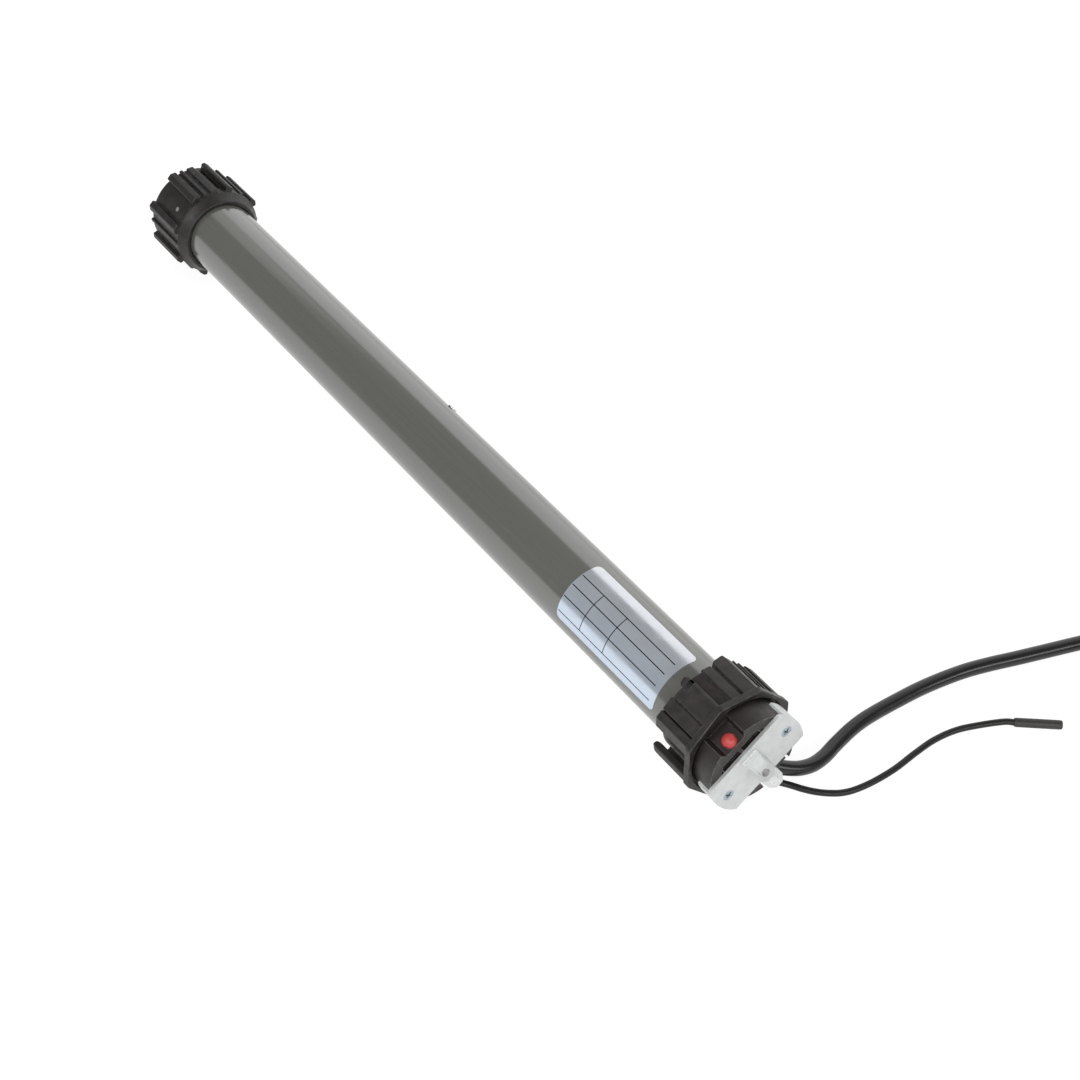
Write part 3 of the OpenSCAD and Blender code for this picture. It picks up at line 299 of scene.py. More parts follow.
def pad_bar(clocks: tuple[float, float], stations: tuple[float, float], r_in: float, across: float,
            radius: float, nose: float = 0.0, thumb: bool = False) -> Shell:
    """Pad of an adapter between two clock angles, out to the octagon.

    Formula: the rounded section is carried along the motor; at both ends its offsets shrink with the cosine
    of an angle that runs from -90 to 90 degrees, and over the nose its width follows a quarter ellipse.

    Args:
        clocks: Clock angles of its sides.
        stations: Its ends, in mm.
        r_in: Inner radius in mm.
        across: Distance across the flats of the octagon in mm.
        radius: Rounding of all its edges in mm.
        nose: Length over which its first end is rounded in plan, in mm.
        thumb: Rounds the first end in height in place of its width.

    Returns:
        The closed surface.
    """
    low, high = clocks
    edge = np.arange(22.5 - 360, 720, 45.0)
    outer = np.concatenate([[low], edge[(edge > low + 0.5) & (edge < high - 0.5)], [high]])
    facet = (outer + 22.5) % 45 - 22.5
    facet[0] = (low + 22.5) % 45 - 22.5
    reach = np.concatenate([[r_in, r_in], across / 2 / np.cos(np.radians(facet))])
    turn = np.radians(np.concatenate([[high, low], outer]))
    core, out = rounded_outline(np.stack([reach * np.sin(turn), reach * np.cos(turn)], -1), radius)
    run = np.linspace(0, 1, 9)[1:] ** 1.5 * nose
    s, share = eased_ends(*stations, radius, stations[0] + radius + run, 5)
    points = core[None] + share * out[None]
    if nose > 0:
        middle = math.radians((low + high) / 2)
        along = np.array([math.cos(middle), -math.sin(middle)])
        if thumb:
            along = np.array([math.sin(middle), math.cos(middle)])
        tip = 0.35
        gone = np.clip((s - stations[0]) / nose, 0, 1)
        narrow = tip + (1 - tip) * np.sqrt(1 - (1 - gone) ** 2)
        aside = (points - points.mean(axis=(0, 1))) @ along
        points = points + (aside * (narrow[:, None] - 1))[..., None] * along
    grid = np.stack([np.broadcast_to(s[:, None] - MIDDLE_S, points.shape[:2]), points[..., 0],
                     AXIS_H + points[..., 1]], -1) * MM
    return Shell.grid(grid, wrap_v=True, caps=True)


def arc_bar(clocks: tuple[float, float], stations: tuple[float, float], r_in: float, r_out: float,
            radius: float) -> Shell:
    """Part of a ring between two clock angles, with rounded edges.

    Formula: the rounded section of stations and radii is carried over the angle; near both ends its offsets
    shrink with the cosine of a second angle while the clock angle eases towards the end.
    """
    core, out = rounded_outline([(stations[0], r_in), (stations[1], r_in), (stations[1], r_out),
                                 (stations[0], r_out)], radius)
    low, high = clocks
    ease = math.degrees(radius / r_out)
    step = 2.5
    middle = np.linspace(low + ease, high - ease, max(3, int((high - low) / step)))[1:-1]
    phi, share = eased_ends(low, high, ease, middle)
    ring = core[None] + share * out[None]
    return Shell.grid(from_axis(ring[..., 0], ring[..., 1], phi[:, None]), wrap_v=True, caps=True)


def block(low: Sequence[float], high: Sequence[float], radius: float, place: Place) -> Shell:
    """Block with rounded edges, in a frame that place turns into points in metres.

    Formula: a rounded rectangle whose offsets shrink with the cosine of an angle at both ends.
    """
    corners = [(low[0], low[1]), (high[0], low[1]), (high[0], high[1]), (low[0], high[1])]
    core, out = rounded_outline(corners, radius)
    s, share = eased_ends(low[2], high[2], radius)
    points = core[None] + share * out[None]
    return Shell.grid(place(points[..., 0], points[..., 1], s[:, None]), wrap_v=True, caps=True)


def smooth_path(points: np.ndarray, spacing: float) -> np.ndarray:
    """Points close together on one smooth curve through the given ones.

    Formula: uniform cubic curve through the points, whose tangents are half the chord between the neighbours.
    """
    count = max(2, int(path_length(points) / spacing))
    q = np.linspace(0, len(points) - 1, count + 1)
    k = np.minimum(q.astype(int), len(points) - 2)
    t = (q - k)[:, None]
    padded = np.concatenate([2 * points[:1] - points[1:2], points, 2 * points[-1:] - points[-2:-1]])
    a, b, c, d = padded[k], padded[k + 1], padded[k + 2], padded[k + 3]
    return 0.5 * (2 * b + (c - a) * t + (2 * a - 5 * b + 4 * c - d) * t ** 2
                  + (3 * b - a - 3 * c + d) * t ** 3)


def swept(path: np.ndarray, radius: float, sides: int, flutes: Place | None = None) -> Shell:
    """Closed tube along a path in mm.

    Formula: at each point a circle stands across the tangent, on the level direction and the one square to
    both; a flute function adds to its radius by length and angle.

    Args:
        path: (n, 3) points in mm.
        radius: Radius in mm.
        sides: Points of each ring.
        flutes: Extra radius by length along and angle round, or None.

    Returns:
        The surface, whose UV holds the length in mm and the share of a turn.
    """
    tangent = unit(np.gradient(path, axis=0))
    level = unit(np.cross(tangent, [0.0, 0.0, 1.0]))
    square = np.cross(level, tangent)
    turn = np.linspace(0, 2 * np.pi, sides + 1)
    run = np.append(0, np.cumsum(np.linalg.norm(np.diff(path, axis=0), axis=1)))
    reach = np.full((len(path), sides), float(radius))
    if flutes is not None:
        reach = reach + flutes(run[:, None], turn[None, :-1])
    ring = level[:, None] * np.sin(turn[None, :-1, None]) - square[:, None] * np.cos(turn[None, :-1, None])
    points = (path[:, None] + reach[..., None] * ring) * MM
    uv = np.stack(np.broadcast_arrays(run[:, None], turn[None] / (2 * np.pi)), -1)
    return Shell.grid(points, wrap_v=True, caps=True, uv=uv)


def softened_copy(node: str, name: str, width: float, angle: float = 40.0) -> bpy.types.Object:
    """Copy of a CAD node with its edges rounded, which stands for the node.

    Formula: the node's loose triangles are merged, flat faces joined, and edges above the angle bevelled.

    Args:
        node: The CAD node.
        name: Name of the piece.
        width: Width of the rounding in mm.
        angle: Least angle of a rounded edge in degrees.

    Returns:
        The linked object.
    """
    same_point, same_plane = 2e-6, math.radians(1.5)
    mesh = bpy.data.meshes.new(name)
    form = bmesh.new()
    form.from_mesh(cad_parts[node].data)
    bmesh.ops.remove_doubles(form, verts=form.verts, dist=same_point)
    bmesh.ops.dissolve_limit(form, angle_limit=same_plane, verts=form.verts, edges=form.edges)
    form.to_mesh(mesh)
    form.free()
    mesh.shade_smooth()
    mesh.set_sharp_from_angle(angle=math.radians(angle))
    piece = bpy.data.objects.new(name, mesh)
    bpy.context.scene.collection.objects.link(piece)
    bevel = piece.modifiers.new("rounded_edges", "BEVEL")
    bevel.width = width * MM
    bevel.segments = 2
    bevel.limit_method = "ANGLE"
    bevel.angle_limit = math.radians(angle)
    bevel.miter_outer = "MITER_SHARP"
    bevel.loop_slide = False
    weighted = piece.modifiers.new("even_shading", "WEIGHTED_NORMAL")
    weighted.keep_sharp = True
    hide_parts(node)
    return piece


class Graph:
    """Short hand for the nodes of one material."""

    def __init__(self, material: bpy.types.Material) -> None:
        """Empties the material's tree and adds its output and shader."""
        material.use_nodes = True
        self.tree = material.node_tree
        self.tree.nodes.clear()
        self.shader = self.add("ShaderNodeBsdfPrincipled")
        self.output = self.add("ShaderNodeOutputMaterial")
        self.link(self.shader.outputs["BSDF"], self.output.inputs["Surface"])
        self.coords = self.add("ShaderNodeTexCoord")

    def add(self, kind: str, feeds: dict[str, object] | None = None, **settings: object) -> bpy.types.Node:
        """New node of a kind, with settings as its attributes and feeds for its inputs by name."""
        node = self.tree.nodes.new(kind)
        for key, value in settings.items():
            setattr(node, key, value)
        self.fill(node, feeds or {})
        return node

    def fill(self, node: bpy.types.Node, feeds: dict[str, object]) -> None:
        """Feeds the inputs of a node by name."""
        for name, value in feeds.items():
            self.feed(node.inputs[name], value)

    def link(self, source: Socket, target: Socket) -> None:
        """Joins two sockets."""
        self.tree.links.new(source, target)

    def feed(self, socket: Socket, value: object) -> None:
        """Links a socket, or sets a number or colour on it."""
        if isinstance(value, Socket):
            self.link(value, socket)
        else:
            socket.default_value = value

    def math(self, operation: str, *values: object) -> Socket:
        """Output of a Math node."""
        node = self.add("ShaderNodeMath", operation=operation)
        for socket, value in zip(node.inputs, values):
            self.feed(socket, value)
        return node.outputs[0]

    def split(self, vector: Socket) -> Sequence[Socket]:
        """The parts of a vector."""
        return self.add("ShaderNodeSeparateXYZ", {"Vector": vector}).outputs

    def place(self, scale: Sequence[float]) -> Socket:
        """Object coordinates scaled along each axis."""
        feeds = {"Vector": self.coords.outputs["Object"], "Scale": tuple(scale)}
        return self.add("ShaderNodeMapping", feeds).outputs["Vector"]

    def noise(self, size_mm: float, detail: float = 3.0, stretch: Sequence[float] = (1, 1, 1)) -> Socket:
        """Noise from 0 to 1 whose features have a size in mm, drawn out along the axes by stretch."""
        feeds = {"Vector": self.place([1 / (size_mm * MM * k) for k in stretch]), "Scale": 1.0,
                 "Detail": detail}
        return self.add("ShaderNodeTexNoise", feeds).outputs["Fac"]

    def band(self, value: object, low: float, high: float, out_low: float = 0.0,
             out_high: float = 1.0) -> Socket:
        """Value carried from one range to another and held inside it."""
        node = self.add("ShaderNodeMapRange", {"Value": value, "From Min": low, "From Max": high,
                                               "To Min": out_low, "To Max": out_high})
        return node.outputs["Result"]

    def mix(self, factor: object, first: object, second: object) -> Socket:
        """Colour between two colours, by the sockets that a colour mix uses."""
        node = self.add("ShaderNodeMix", data_type="RGBA")
        for index, value in ((0, factor), (6, first), (7, second)):
            self.feed(node.inputs[index], value)
        return node.outputs[2]

    def stripe(self, coordinate: object, middle: float, half: float, soft: float) -> Socket:
        """One within half of the middle, falling to nought over soft."""
        away = self.math("ABSOLUTE", self.math("SUBTRACT", coordinate, middle))
        return self.band(away, half, half + soft, 1.0, 0.0)


def rgba(colour: Sequence[float], share: float = 1.0) -> tuple[float, float, float, float]:
    """Linear colour with its brightness multiplied, as four numbers."""
    return (*(min(1.0, c * share) for c in colour), 1.0)


@dataclass(frozen=True)
class Finish:
    """A finish: base colour with drift, fine grain, uneven gloss and lighter edges, partly rubbed and partly
    painted highlight.
    """

    name: str
    colour: tuple[float, float, float]
    roughness: float = 0.5
    metallic: float = 0.0
    drift: float = 0.08
    drift_mm: float = 14.0
    grain: float = 0.12
    grain_mm: float = 0.5
    stretch: tuple[float, float, float] = (1.0, 1.0, 1.0)
    edge_mm: float = 0.35
    # Lightening of sharp edges: partly rubbing, partly painted highlight
    edge_wear_and_highlight: float = 0.0
    uneven: float = 0.08
    coat: float = 0.0
    ior: float = 1.5

    def make(self) -> bpy.types.Material:
        """The material, made once and found again by its name.

        Returns:
            The material with its nodes.
        """
        label = f"{self.name}_finish"
        known = bpy.data.materials.get(label)
        if known:
            return known
        material = bpy.data.materials.new(label)
        graph = Graph(material)
        bump = graph.add("ShaderNodeBump", {"Strength": self.grain, "Distance": 0.1 * MM,
                                            "Height": graph.noise(self.grain_mm, 2.0, self.stretch)})
        graph.fill(graph.shader, {
            "Metallic": self.metallic, "Coat Weight": self.coat, "IOR": self.ior,
            "Base Color": self.worn_and_highlit(graph, self.paint(graph)), "Roughness": self.gloss(graph),
            "Normal": bump.outputs["Normal"]})
        return material

    def paint(self, graph: Graph) -> Socket:
        """Colour that drifts a little about the base colour."""
        drift = graph.band(graph.noise(self.drift_mm, 4.0, self.stretch), 0.3, 0.7)
        return graph.mix(drift, rgba(self.colour, 1 - self.drift), rgba(self.colour, 1 + self.drift))

    def worn_and_highlit(self, graph: Graph, colour: Socket) -> Socket:
        """Colour with lighter, broken edges where the surface turns sharply: partly rubbed, partly painted
        highlight.
        """
        if self.edge_wear_and_highlight <= 0:
            return colour
        bevel = graph.add("ShaderNodeBevel", {"Radius": self.edge_mm * MM}, samples=4)
        geometry = graph.add("ShaderNodeNewGeometry")
        dot = graph.add("ShaderNodeVectorMath", operation="DOT_PRODUCT")
        graph.link(bevel.outputs["Normal"], dot.inputs[0])
        graph.link(geometry.outputs["Normal"], dot.inputs[1])
        edge = graph.band(dot.outputs["Value"], 0.985, 0.85)
        broken = graph.band(graph.noise(2.0, 4.0), 0.35, 0.6)
        # Painted highlight and rubbing: lighter colour at sharp edges, broken by noise
        wear_and_highlight = graph.math("MULTIPLY", graph.math("MULTIPLY", edge, broken), self.edge_wear_and_highlight)
        return graph.mix(wear_and_highlight, colour, rgba([0.5 * c + 0.2 for c in self.colour]))

    def gloss(self, graph: Graph) -> Socket:
        """Roughness that varies with soft smudges."""
        return graph.band(graph.noise(self.drift_mm * 0.6, 3.0, self.stretch), 0.3, 0.7,
                          max(0.03, self.roughness - self.uneven), min(1.0, self.roughness + self.uneven))


@dataclass(frozen=True)
class CoatedTube(Finish):
    """Rolled and coated steel tube: faint draw lines along it and a few long rubs."""

    def paint(self, graph: Graph) -> Socket:
        """Drift, draw lines and rubs."""
        base = super().paint(graph)
        lines = graph.band(graph.noise(1.2, 3.0, (60, 1, 1)), 0.4, 0.62, 0.0, 0.5)
        drawn = graph.mix(lines, base, rgba(self.colour, 1.1))
        rubs = graph.band(graph.noise(5.0, 5.0, (9, 1, 1)), 0.66, 0.74, 0.0, 0.35)
        return graph.mix(rubs, drawn, rgba(self.colour, 1.35))


@dataclass(frozen=True)
class RuledFoil(Finish):
    """Silver foil label with dark ruled lines, placed by its UV in mm: along the tube, round the tube."""

    rows: tuple[float, ...] = (11.8, 18.9, 26.4, 35.4)
    columns: tuple[float, ...] = (20.1, 40.9)
    row_span: tuple[float, float] = (0.8, 82.0)
    line_half: float = 0.22
    line_soft: float = 0.12
    end_soft: float = 0.2
    line_colour: tuple[float, float, float] = (0.008, 0.009, 0.01)

    def lines(self, graph: Graph, coordinate: Socket, places: Sequence[float]) -> Socket:
        """One on thin lines at some places of a coordinate."""
        found = graph.stripe(coordinate, places[0], self.line_half, self.line_soft)
        for place in places[1:]:
            line = graph.stripe(coordinate, place, self.line_half, self.line_soft)
            found = graph.math("MAXIMUM", found, line)
        return found

    def within(self, graph: Graph, lines: Socket, coordinate: Socket, low: float, high: float) -> Socket:
        """Lines that end softly at two places of the other coordinate."""
        middle = (low + high) / 2
        return graph.math("MULTIPLY", lines, graph.stripe(coordinate, middle, middle - low, self.end_soft))

    def paint(self, graph: Graph) -> Socket:
        """Foil that turns bluish across the label, with its ruled lines."""
        along, across = graph.split(graph.coords.outputs["UV"])[:2]
        red, green, blue = self.colour
        tint = graph.band(across, 4.0, 36.0)
        foil = graph.mix(tint, rgba(self.colour, 0.92), rgba((red * 0.9, green, blue * 1.12)))
        sparkle = graph.band(graph.noise(0.35, 2.0), 0.45, 0.75, 0.0, 0.25)
        foil = graph.mix(sparkle, foil, rgba(self.colour, 1.25))
        row = self.within(graph, self.lines(graph, across, self.rows), along, *self.row_span)
        column = self.lines(graph, along, self.columns)
        column = self.within(graph, column, across, self.rows[0], self.rows[-1])
        return graph.mix(graph.math("MAXIMUM", row, column), foil, rgba(self.line_colour))


@dataclass(frozen=True)
class Layered(Finish):
    """Stack of thin sheets: fine dark joints at an even pitch along the motor."""

    pitch_mm: float = 0.65

    def paint(self, graph: Graph) -> Socket:
        """Drift with dark joints."""
        wave = graph.math("PINGPONG", graph.split(graph.place([1 / (self.pitch_mm * MM)] * 3))[0], 0.5)
        return graph.mix(graph.band(wave, 0.0, 0.14), rgba(self.colour, 0.35), super().paint(graph))


@dataclass(frozen=True)
class Striped(Finish):
    """Core insulation with a second colour in a stripe along it, by the share of a turn in its UV."""

    second: tuple[float, float, float] = (0.05, 0.25, 0.03)

    def paint(self, graph: Graph) -> Socket:
        """Two colours side by side round the core."""
        stripe = graph.stripe(graph.split(graph.coords.outputs["UV"])[1], 0.5, 0.17, 0.02)
        return graph.mix(stripe, super().paint(graph), rgba(self.second))


@dataclass(frozen=True)
class Traced(Finish):
    """Circuit board: lacquer over copper tracks, with tinned pads."""

    track_mm: float = 3.2
    pad_mm: float = 2.54
    pad_colour: tuple[float, float, float] = (0.55, 0.55, 0.52)

    @staticmethod
    def cells(graph: Graph, feature: str, pitch_mm: float, randomness: float) -> Socket:
        """Distances in a pattern of cells."""
        scaled = graph.place([1 / (pitch_mm * MM)] * 3)
        return graph.add("ShaderNodeTexVoronoi", {"Vector": scaled, "Scale": 1.0, "Randomness": randomness},
                         feature=feature).outputs["Distance"]

    def paint(self, graph: Graph) -> Socket:
        """Lacquer, tracks from a cell pattern and round pads."""
        line = graph.band(self.cells(graph, "DISTANCE_TO_EDGE", self.track_mm, 0.35), 0.05, 0.09, 1.0, 0.0)
        lacquer = graph.mix(line, super().paint(graph), rgba([c * 1.7 + 0.01 for c in self.colour]))
        pads = graph.band(self.cells(graph, "F1", self.pad_mm, 0.0), 0.2, 0.26, 1.0, 0.0)
        return graph.mix(pads, lacquer, rgba(self.pad_colour))


# Numbers after a colour: roughness, metallic, drift and its size, grain and its size, stretch of both
TUBE = CoatedTube("coated_tube", (0.108, 0.109, 0.0955), 0.17, 0.0, 0.04, 40.0, 0.04, 0.9, (6, 1, 1),
                  uneven=0.03, ior=2.0)
FOIL = RuledFoil("ruled_foil", (0.66, 0.685, 0.72), 0.22, 0.7, 0.04, 20.0, 0.04, 0.4)
# On the wheel, crown and head plastics the lighter edges are partly painted highlight along their rims, partly
# rubbing
WHEEL_PLASTIC = Finish("wheel_plastic", (0.0145, 0.0122, 0.0113), 0.47, 0.0, 0.5, 5.0, 0.16, 0.35,
                       edge_mm=0.9, edge_wear_and_highlight=0.4)
CROWN_PLASTIC = Finish("crown_plastic", (0.0175, 0.0137, 0.0121), 0.44, 0.0, 0.6, 6.0, 0.18, 0.35,
                       edge_mm=1.0, edge_wear_and_highlight=0.45)
HEAD_PLASTIC = Finish("head_plastic", (0.0165, 0.0122, 0.0108), 0.48, 0.0, 0.25, 6.0, 0.2, 0.45,
                      edge_mm=0.9, edge_wear_and_highlight=0.7)
ZINC = Finish("zinc_plate", (0.6, 0.62, 0.615), 0.36, 0.4, 0.06, 5.0, 0.12, 0.35)
STUD_ZINC = Finish("stud_zinc", (0.68, 0.7, 0.69), 0.33, 0.3, 0.08, 4.0, 0.2, 0.4, (5, 1, 1))
SCREW_ZINC = Finish("screw_zinc", (0.36, 0.42, 0.46), 0.28, 0.9, 0.08, 2.0, 0.1, 0.3, edge_wear_and_highlight=0.4)
BRIGHT_SCREW = Finish("bright_screw", (0.6, 0.6, 0.58), 0.25, 0.9, 0.06, 2.0, 0.1, 0.3, edge_wear_and_highlight=0.3)
BUTTON_RED = Finish("button_plastic", (0.49, 0.053, 0.05), 0.36, 0.0, 0.04, 3.0, 0.02, 0.8)
CABLE_SHEATH = Finish("cable_sheath", (0.0055, 0.005, 0.0048), 0.26, 0.0, 0.12, 25.0, 0.05, 0.6, uneven=0.04)
LEAD_SHEATH = Finish("lead_sheath", (0.005, 0.0045, 0.0042), 0.4, 0.0, 0.12, 12.0, 0.06, 0.4, ior=1.45)
SLEEVE_BLACK = Finish("sleeve_black", (0.03, 0.026, 0.024), 0.5, 0.0, 0.1, 8.0, 0.1, 0.4)
TIE_FABRIC = Finish("tie_fabric", (0.03, 0.03, 0.032), 0.85, 0.0, 0.25, 1.2, 0.8, 0.5)
CORE_BROWN = Finish("core_brown", (0.1, 0.04, 0.018), 0.42, 0.0, 0.06, 8.0, 0.08, 0.4)
CORE_BLUE = Finish("core_blue", (0.02, 0.09, 0.38), 0.42, 0.0, 0.06, 8.0, 0.08, 0.4)
CORE_EARTH = Striped("core_earth", (0.7, 0.55, 0.03), 0.42, 0.0, 0.06, 8.0, 0.08, 0.4)
TINNED = Finish("tinned", (0.7, 0.7, 0.68), 0.3, 0.95, 0.06, 1.0, 0.2, 0.2, (4, 1, 1))
GEAR_STEEL = Finish("gear_steel", (0.42, 0.42, 0.41), 0.32, 0.95, 0.12, 3.0, 0.2, 0.3, (1, 1, 4),
                    edge_wear_and_highlight=0.4)
SINTERED = Finish("sintered_gear", (0.3, 0.295, 0.285), 0.45, 0.9, 0.15, 1.5, 0.5, 0.25, edge_wear_and_highlight=0.5)
NYLON = Finish("gear_nylon", (0.78, 0.74, 0.64), 0.38, 0.0, 0.04, 6.0, 0.1, 0.4, edge_wear_and_highlight=0.1)
PIN_STEEL = Finish("pin_steel", (0.62, 0.63, 0.64), 0.2, 0.95, 0.05, 2.0, 0.08, 0.2, (6, 1, 1))
DIE_CAST = Finish("die_cast", (0.5, 0.5, 0.51), 0.5, 0.85, 0.12, 6.0, 0.6, 0.7, edge_wear_and_highlight=0.4)
HOUSING_STEEL = Finish("housing_steel", (0.3, 0.3, 0.3), 0.42, 0.9, 0.12, 5.0, 0.3, 0.4, (1, 6, 6))
BRONZE = Finish("bronze", (0.55, 0.33, 0.12), 0.38, 0.9, 0.15, 2.0, 0.35, 0.25)
LINING = Finish("brake_lining", (0.09, 0.065, 0.045), 0.9, 0.0, 0.35, 0.8, 1.0, 0.4)
DISC_STEEL = Finish("disc_steel", (0.5, 0.5, 0.5), 0.3, 0.95, 0.12, 1.2, 0.3, 0.2)
LAMINATION = Layered("lamination", (0.22, 0.215, 0.21), 0.5, 0.8, 0.15, 4.0, 0.3, 0.3)
COPPER = Finish("winding_copper", (0.55, 0.17, 0.06), 0.28, 0.8, 0.2, 1.0, 0.2, 0.3, coat=0.6)
CAPACITOR_CASE = Finish("capacitor_case", (0.7, 0.71, 0.72), 0.35, 0.85, 0.06, 8.0, 0.12, 0.3, (8, 1, 1))
TRAY_PLASTIC = Finish("tray_plastic", (0.035, 0.037, 0.04), 0.5, 0.0, 0.1, 8.0, 0.3, 0.5, edge_wear_and_highlight=0.2)
BOARD_GREEN = Traced("board_green", (0.012, 0.09, 0.04), 0.35, 0.0, 0.08, 10.0, 0.1, 0.5)
RELAY_PLASTIC = Finish("relay_plastic", (0.02, 0.024, 0.03), 0.3, 0.0, 0.08, 5.0, 0.12, 0.4, edge_wear_and_highlight=0.2)
CORE_YELLOW = Layered("transformer_tape", (0.6, 0.42, 0.03), 0.4, 0.0, 0.08, 4.0, 0.1, 0.4, pitch_mm=4.0)
TERMINAL_GREEN = Finish("terminal_green", (0.03, 0.23, 0.09), 0.4, 0.0, 0.06, 5.0, 0.1, 0.4, edge_wear_and_highlight=0.2)
SWITCH_BLACK = Finish("switch_black", (0.02, 0.02, 0.02), 0.4, 0.0, 0.1, 3.0, 0.15, 0.3, edge_wear_and_highlight=0.2)
CONTACT_BRASS = Finish("contact_brass", (0.75, 0.52, 0.18), 0.25, 0.95, 0.08, 1.0, 0.1, 0.2, (5, 1, 1))


def dress(piece: bpy.types.Object, finish: Finish, body: Body, slot: str, *nodes: str) -> bpy.types.Object:
    """Gives a new piece its finish and its body, and hides the nodes that it stands for.

    Args:
        piece: The new piece.
        finish: Its finish.
        body: The body that it rides on.
        slot: The record's material slot; not used.
        nodes: CAD nodes that it replaces.

    Returns:
        The piece.
    """
    piece.data.materials.clear()
    piece.data.materials.append(finish.make())
    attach(piece, body.value)
    if nodes:
        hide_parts(*nodes)
    LOG.info("%s: %d faces, rides on %s", piece.name, len(piece.data.polygons), body.value)
    return piece


@dataclass
class Viewpoint:
    """The camera at the photograph's viewing angle."""

    place: tuple[float, float, float] = (0.8600, -0.5047, 0.8387)
    turn: tuple[float, float, float] = (48.62164458, 0.22707457, 56.07867557)
    lens: float = 73.917
    sensor: float = 36.0

    def build(self) -> None:
        """Makes the camera and lets the scene use it."""
        data = bpy.data.cameras.new("photo_camera")
        data.lens, data.sensor_width = self.lens, self.sensor
        camera = bpy.data.objects.new("photo_camera", data)
        camera.location = self.place
        camera.rotation_euler = [math.radians(a) for a in self.turn]
        bpy.context.scene.collection.objects.link(camera)
        bpy.context.scene.camera = camera


@dataclass
class Studio:
    """Pale floor, plain soft light and four panels: behind, beside, far off and in front of the motor."""

    floor_half: float = 6.0
    # Grey of the floor for the light on it and for the eye, and its glow for the eye
    floor_lit: float = 0.72
    floor_seen: float = 0.25
    floor_glow: float = 0.88
    world_level: float = 0.32
    # Name, power in watts, place, width and height, and the point that it faces, in metres
    lamps: tuple[tuple, ...] = (
        ("back_panel", 27.0, (-1.3, 1.65, 1.0), (3.8, 2.1), (-1.3, 0.0, 0.1)),
        ("side_panel", 15.0, (0.3, -1.5, 1.3), (1.4, 1.1), (0.1, 0.0, 0.0)),
        ("far_panel", 1.0, (-2.0, 0.3, 1.35), (0.9, 0.6), (-0.27, 0.0, 0.05)),
        ("front_panel", 25.0, (1.9, -0.3, 0.85), (3.0, 0.5), (0.3, 0.0, 0.02)))

    def build(self) -> None:
        """Makes the floor, the world, which shows white to the camera, and the lamps."""
        self.floor()
        world = bpy.data.worlds.new("studio")
        world.use_nodes = True
        sky = world.node_tree.nodes["Background"]
        sky.inputs["Color"].default_value = (1, 1, 1, 1)
        path = world.node_tree.nodes.new("ShaderNodeLightPath")
        level = world.node_tree.nodes.new("ShaderNodeMath")
        level.operation = "MAXIMUM"
        level.inputs[1].default_value = self.world_level
        world.node_tree.links.new(path.outputs["Is Camera Ray"], level.inputs[0])
        world.node_tree.links.new(level.outputs[0], sky.inputs["Strength"])
        bpy.context.scene.world = world
        bpy.context.scene.view_settings.view_transform = "Standard"
        for lamp in self.lamps:
            self.lamp(*lamp)

    def floor(self) -> None:
        """Pale floor that shows white to camera and reflections and keeps soft shadows.

        Formula: a square at height nought; for camera, glossy and transmitted rays its material is a level
        glow over a darker diffuse face, which keeps the shadows, and for the rest it is a pale diffuse face
        alone.
        """
        line = np.array([-self.floor_half, self.floor_half])
        x, y = np.meshgrid(line, line, indexing="ij")
        floor = Shell.grid(np.stack([x, y, np.zeros_like(x)], -1)).placed("floor", closed=False)
        if floor.data.polygons[0].normal.z < 0:
            floor.data.flip_normals()
        material = bpy.data.materials.new("floor_white")
        graph = Graph(material)
        graph.tree.nodes.remove(graph.shader)
        rays = graph.add("ShaderNodeLightPath").outputs
        mirrored = graph.math("MAXIMUM", rays["Is Glossy Ray"], rays["Is Transmission Ray"])
        seen = graph.math("MAXIMUM", rays["Is Camera Ray"], mirrored)
        grey = graph.mix(seen, rgba([self.floor_lit] * 3), rgba([self.floor_seen] * 3))
        pale = graph.add("ShaderNodeBsdfDiffuse", {"Color": grey})
        glow = graph.add("ShaderNodeEmission", {"Strength": graph.math("MULTIPLY", seen, self.floor_glow)})
        total = graph.add("ShaderNodeAddShader")
        graph.link(pale.outputs[0], total.inputs[0])
        graph.link(glow.outputs[0], total.inputs[1])
        graph.link(total.outputs[0], graph.output.inputs["Surface"])
        floor.data.materials.append(material)

    @staticmethod
    def lamp(name: str, power: float, place: Sequence[float], size: tuple[float, float],
             target: Sequence[float]) -> None:
        """Rectangular lamp that faces a point.

        Args:
            name: Its name.
            power: Its power in watts.
            place: Where it stands, in metres.
            size: Its width and height in metres.
            target: The point it faces.
        """
        data = bpy.data.lights.new(name, "AREA")
        data.shape, data.energy = "RECTANGLE", power
        data.size, data.size_y = size
        lamp = bpy.data.objects.new(name, data)
        lamp.location = place
        toward = lamp.location.copy()
        toward.x, toward.y, toward.z = (t - p for t, p in zip(target, place))
        lamp.rotation_euler = toward.to_track_quat("-Z", "Y").to_euler()
        bpy.context.scene.collection.objects.link(lamp)


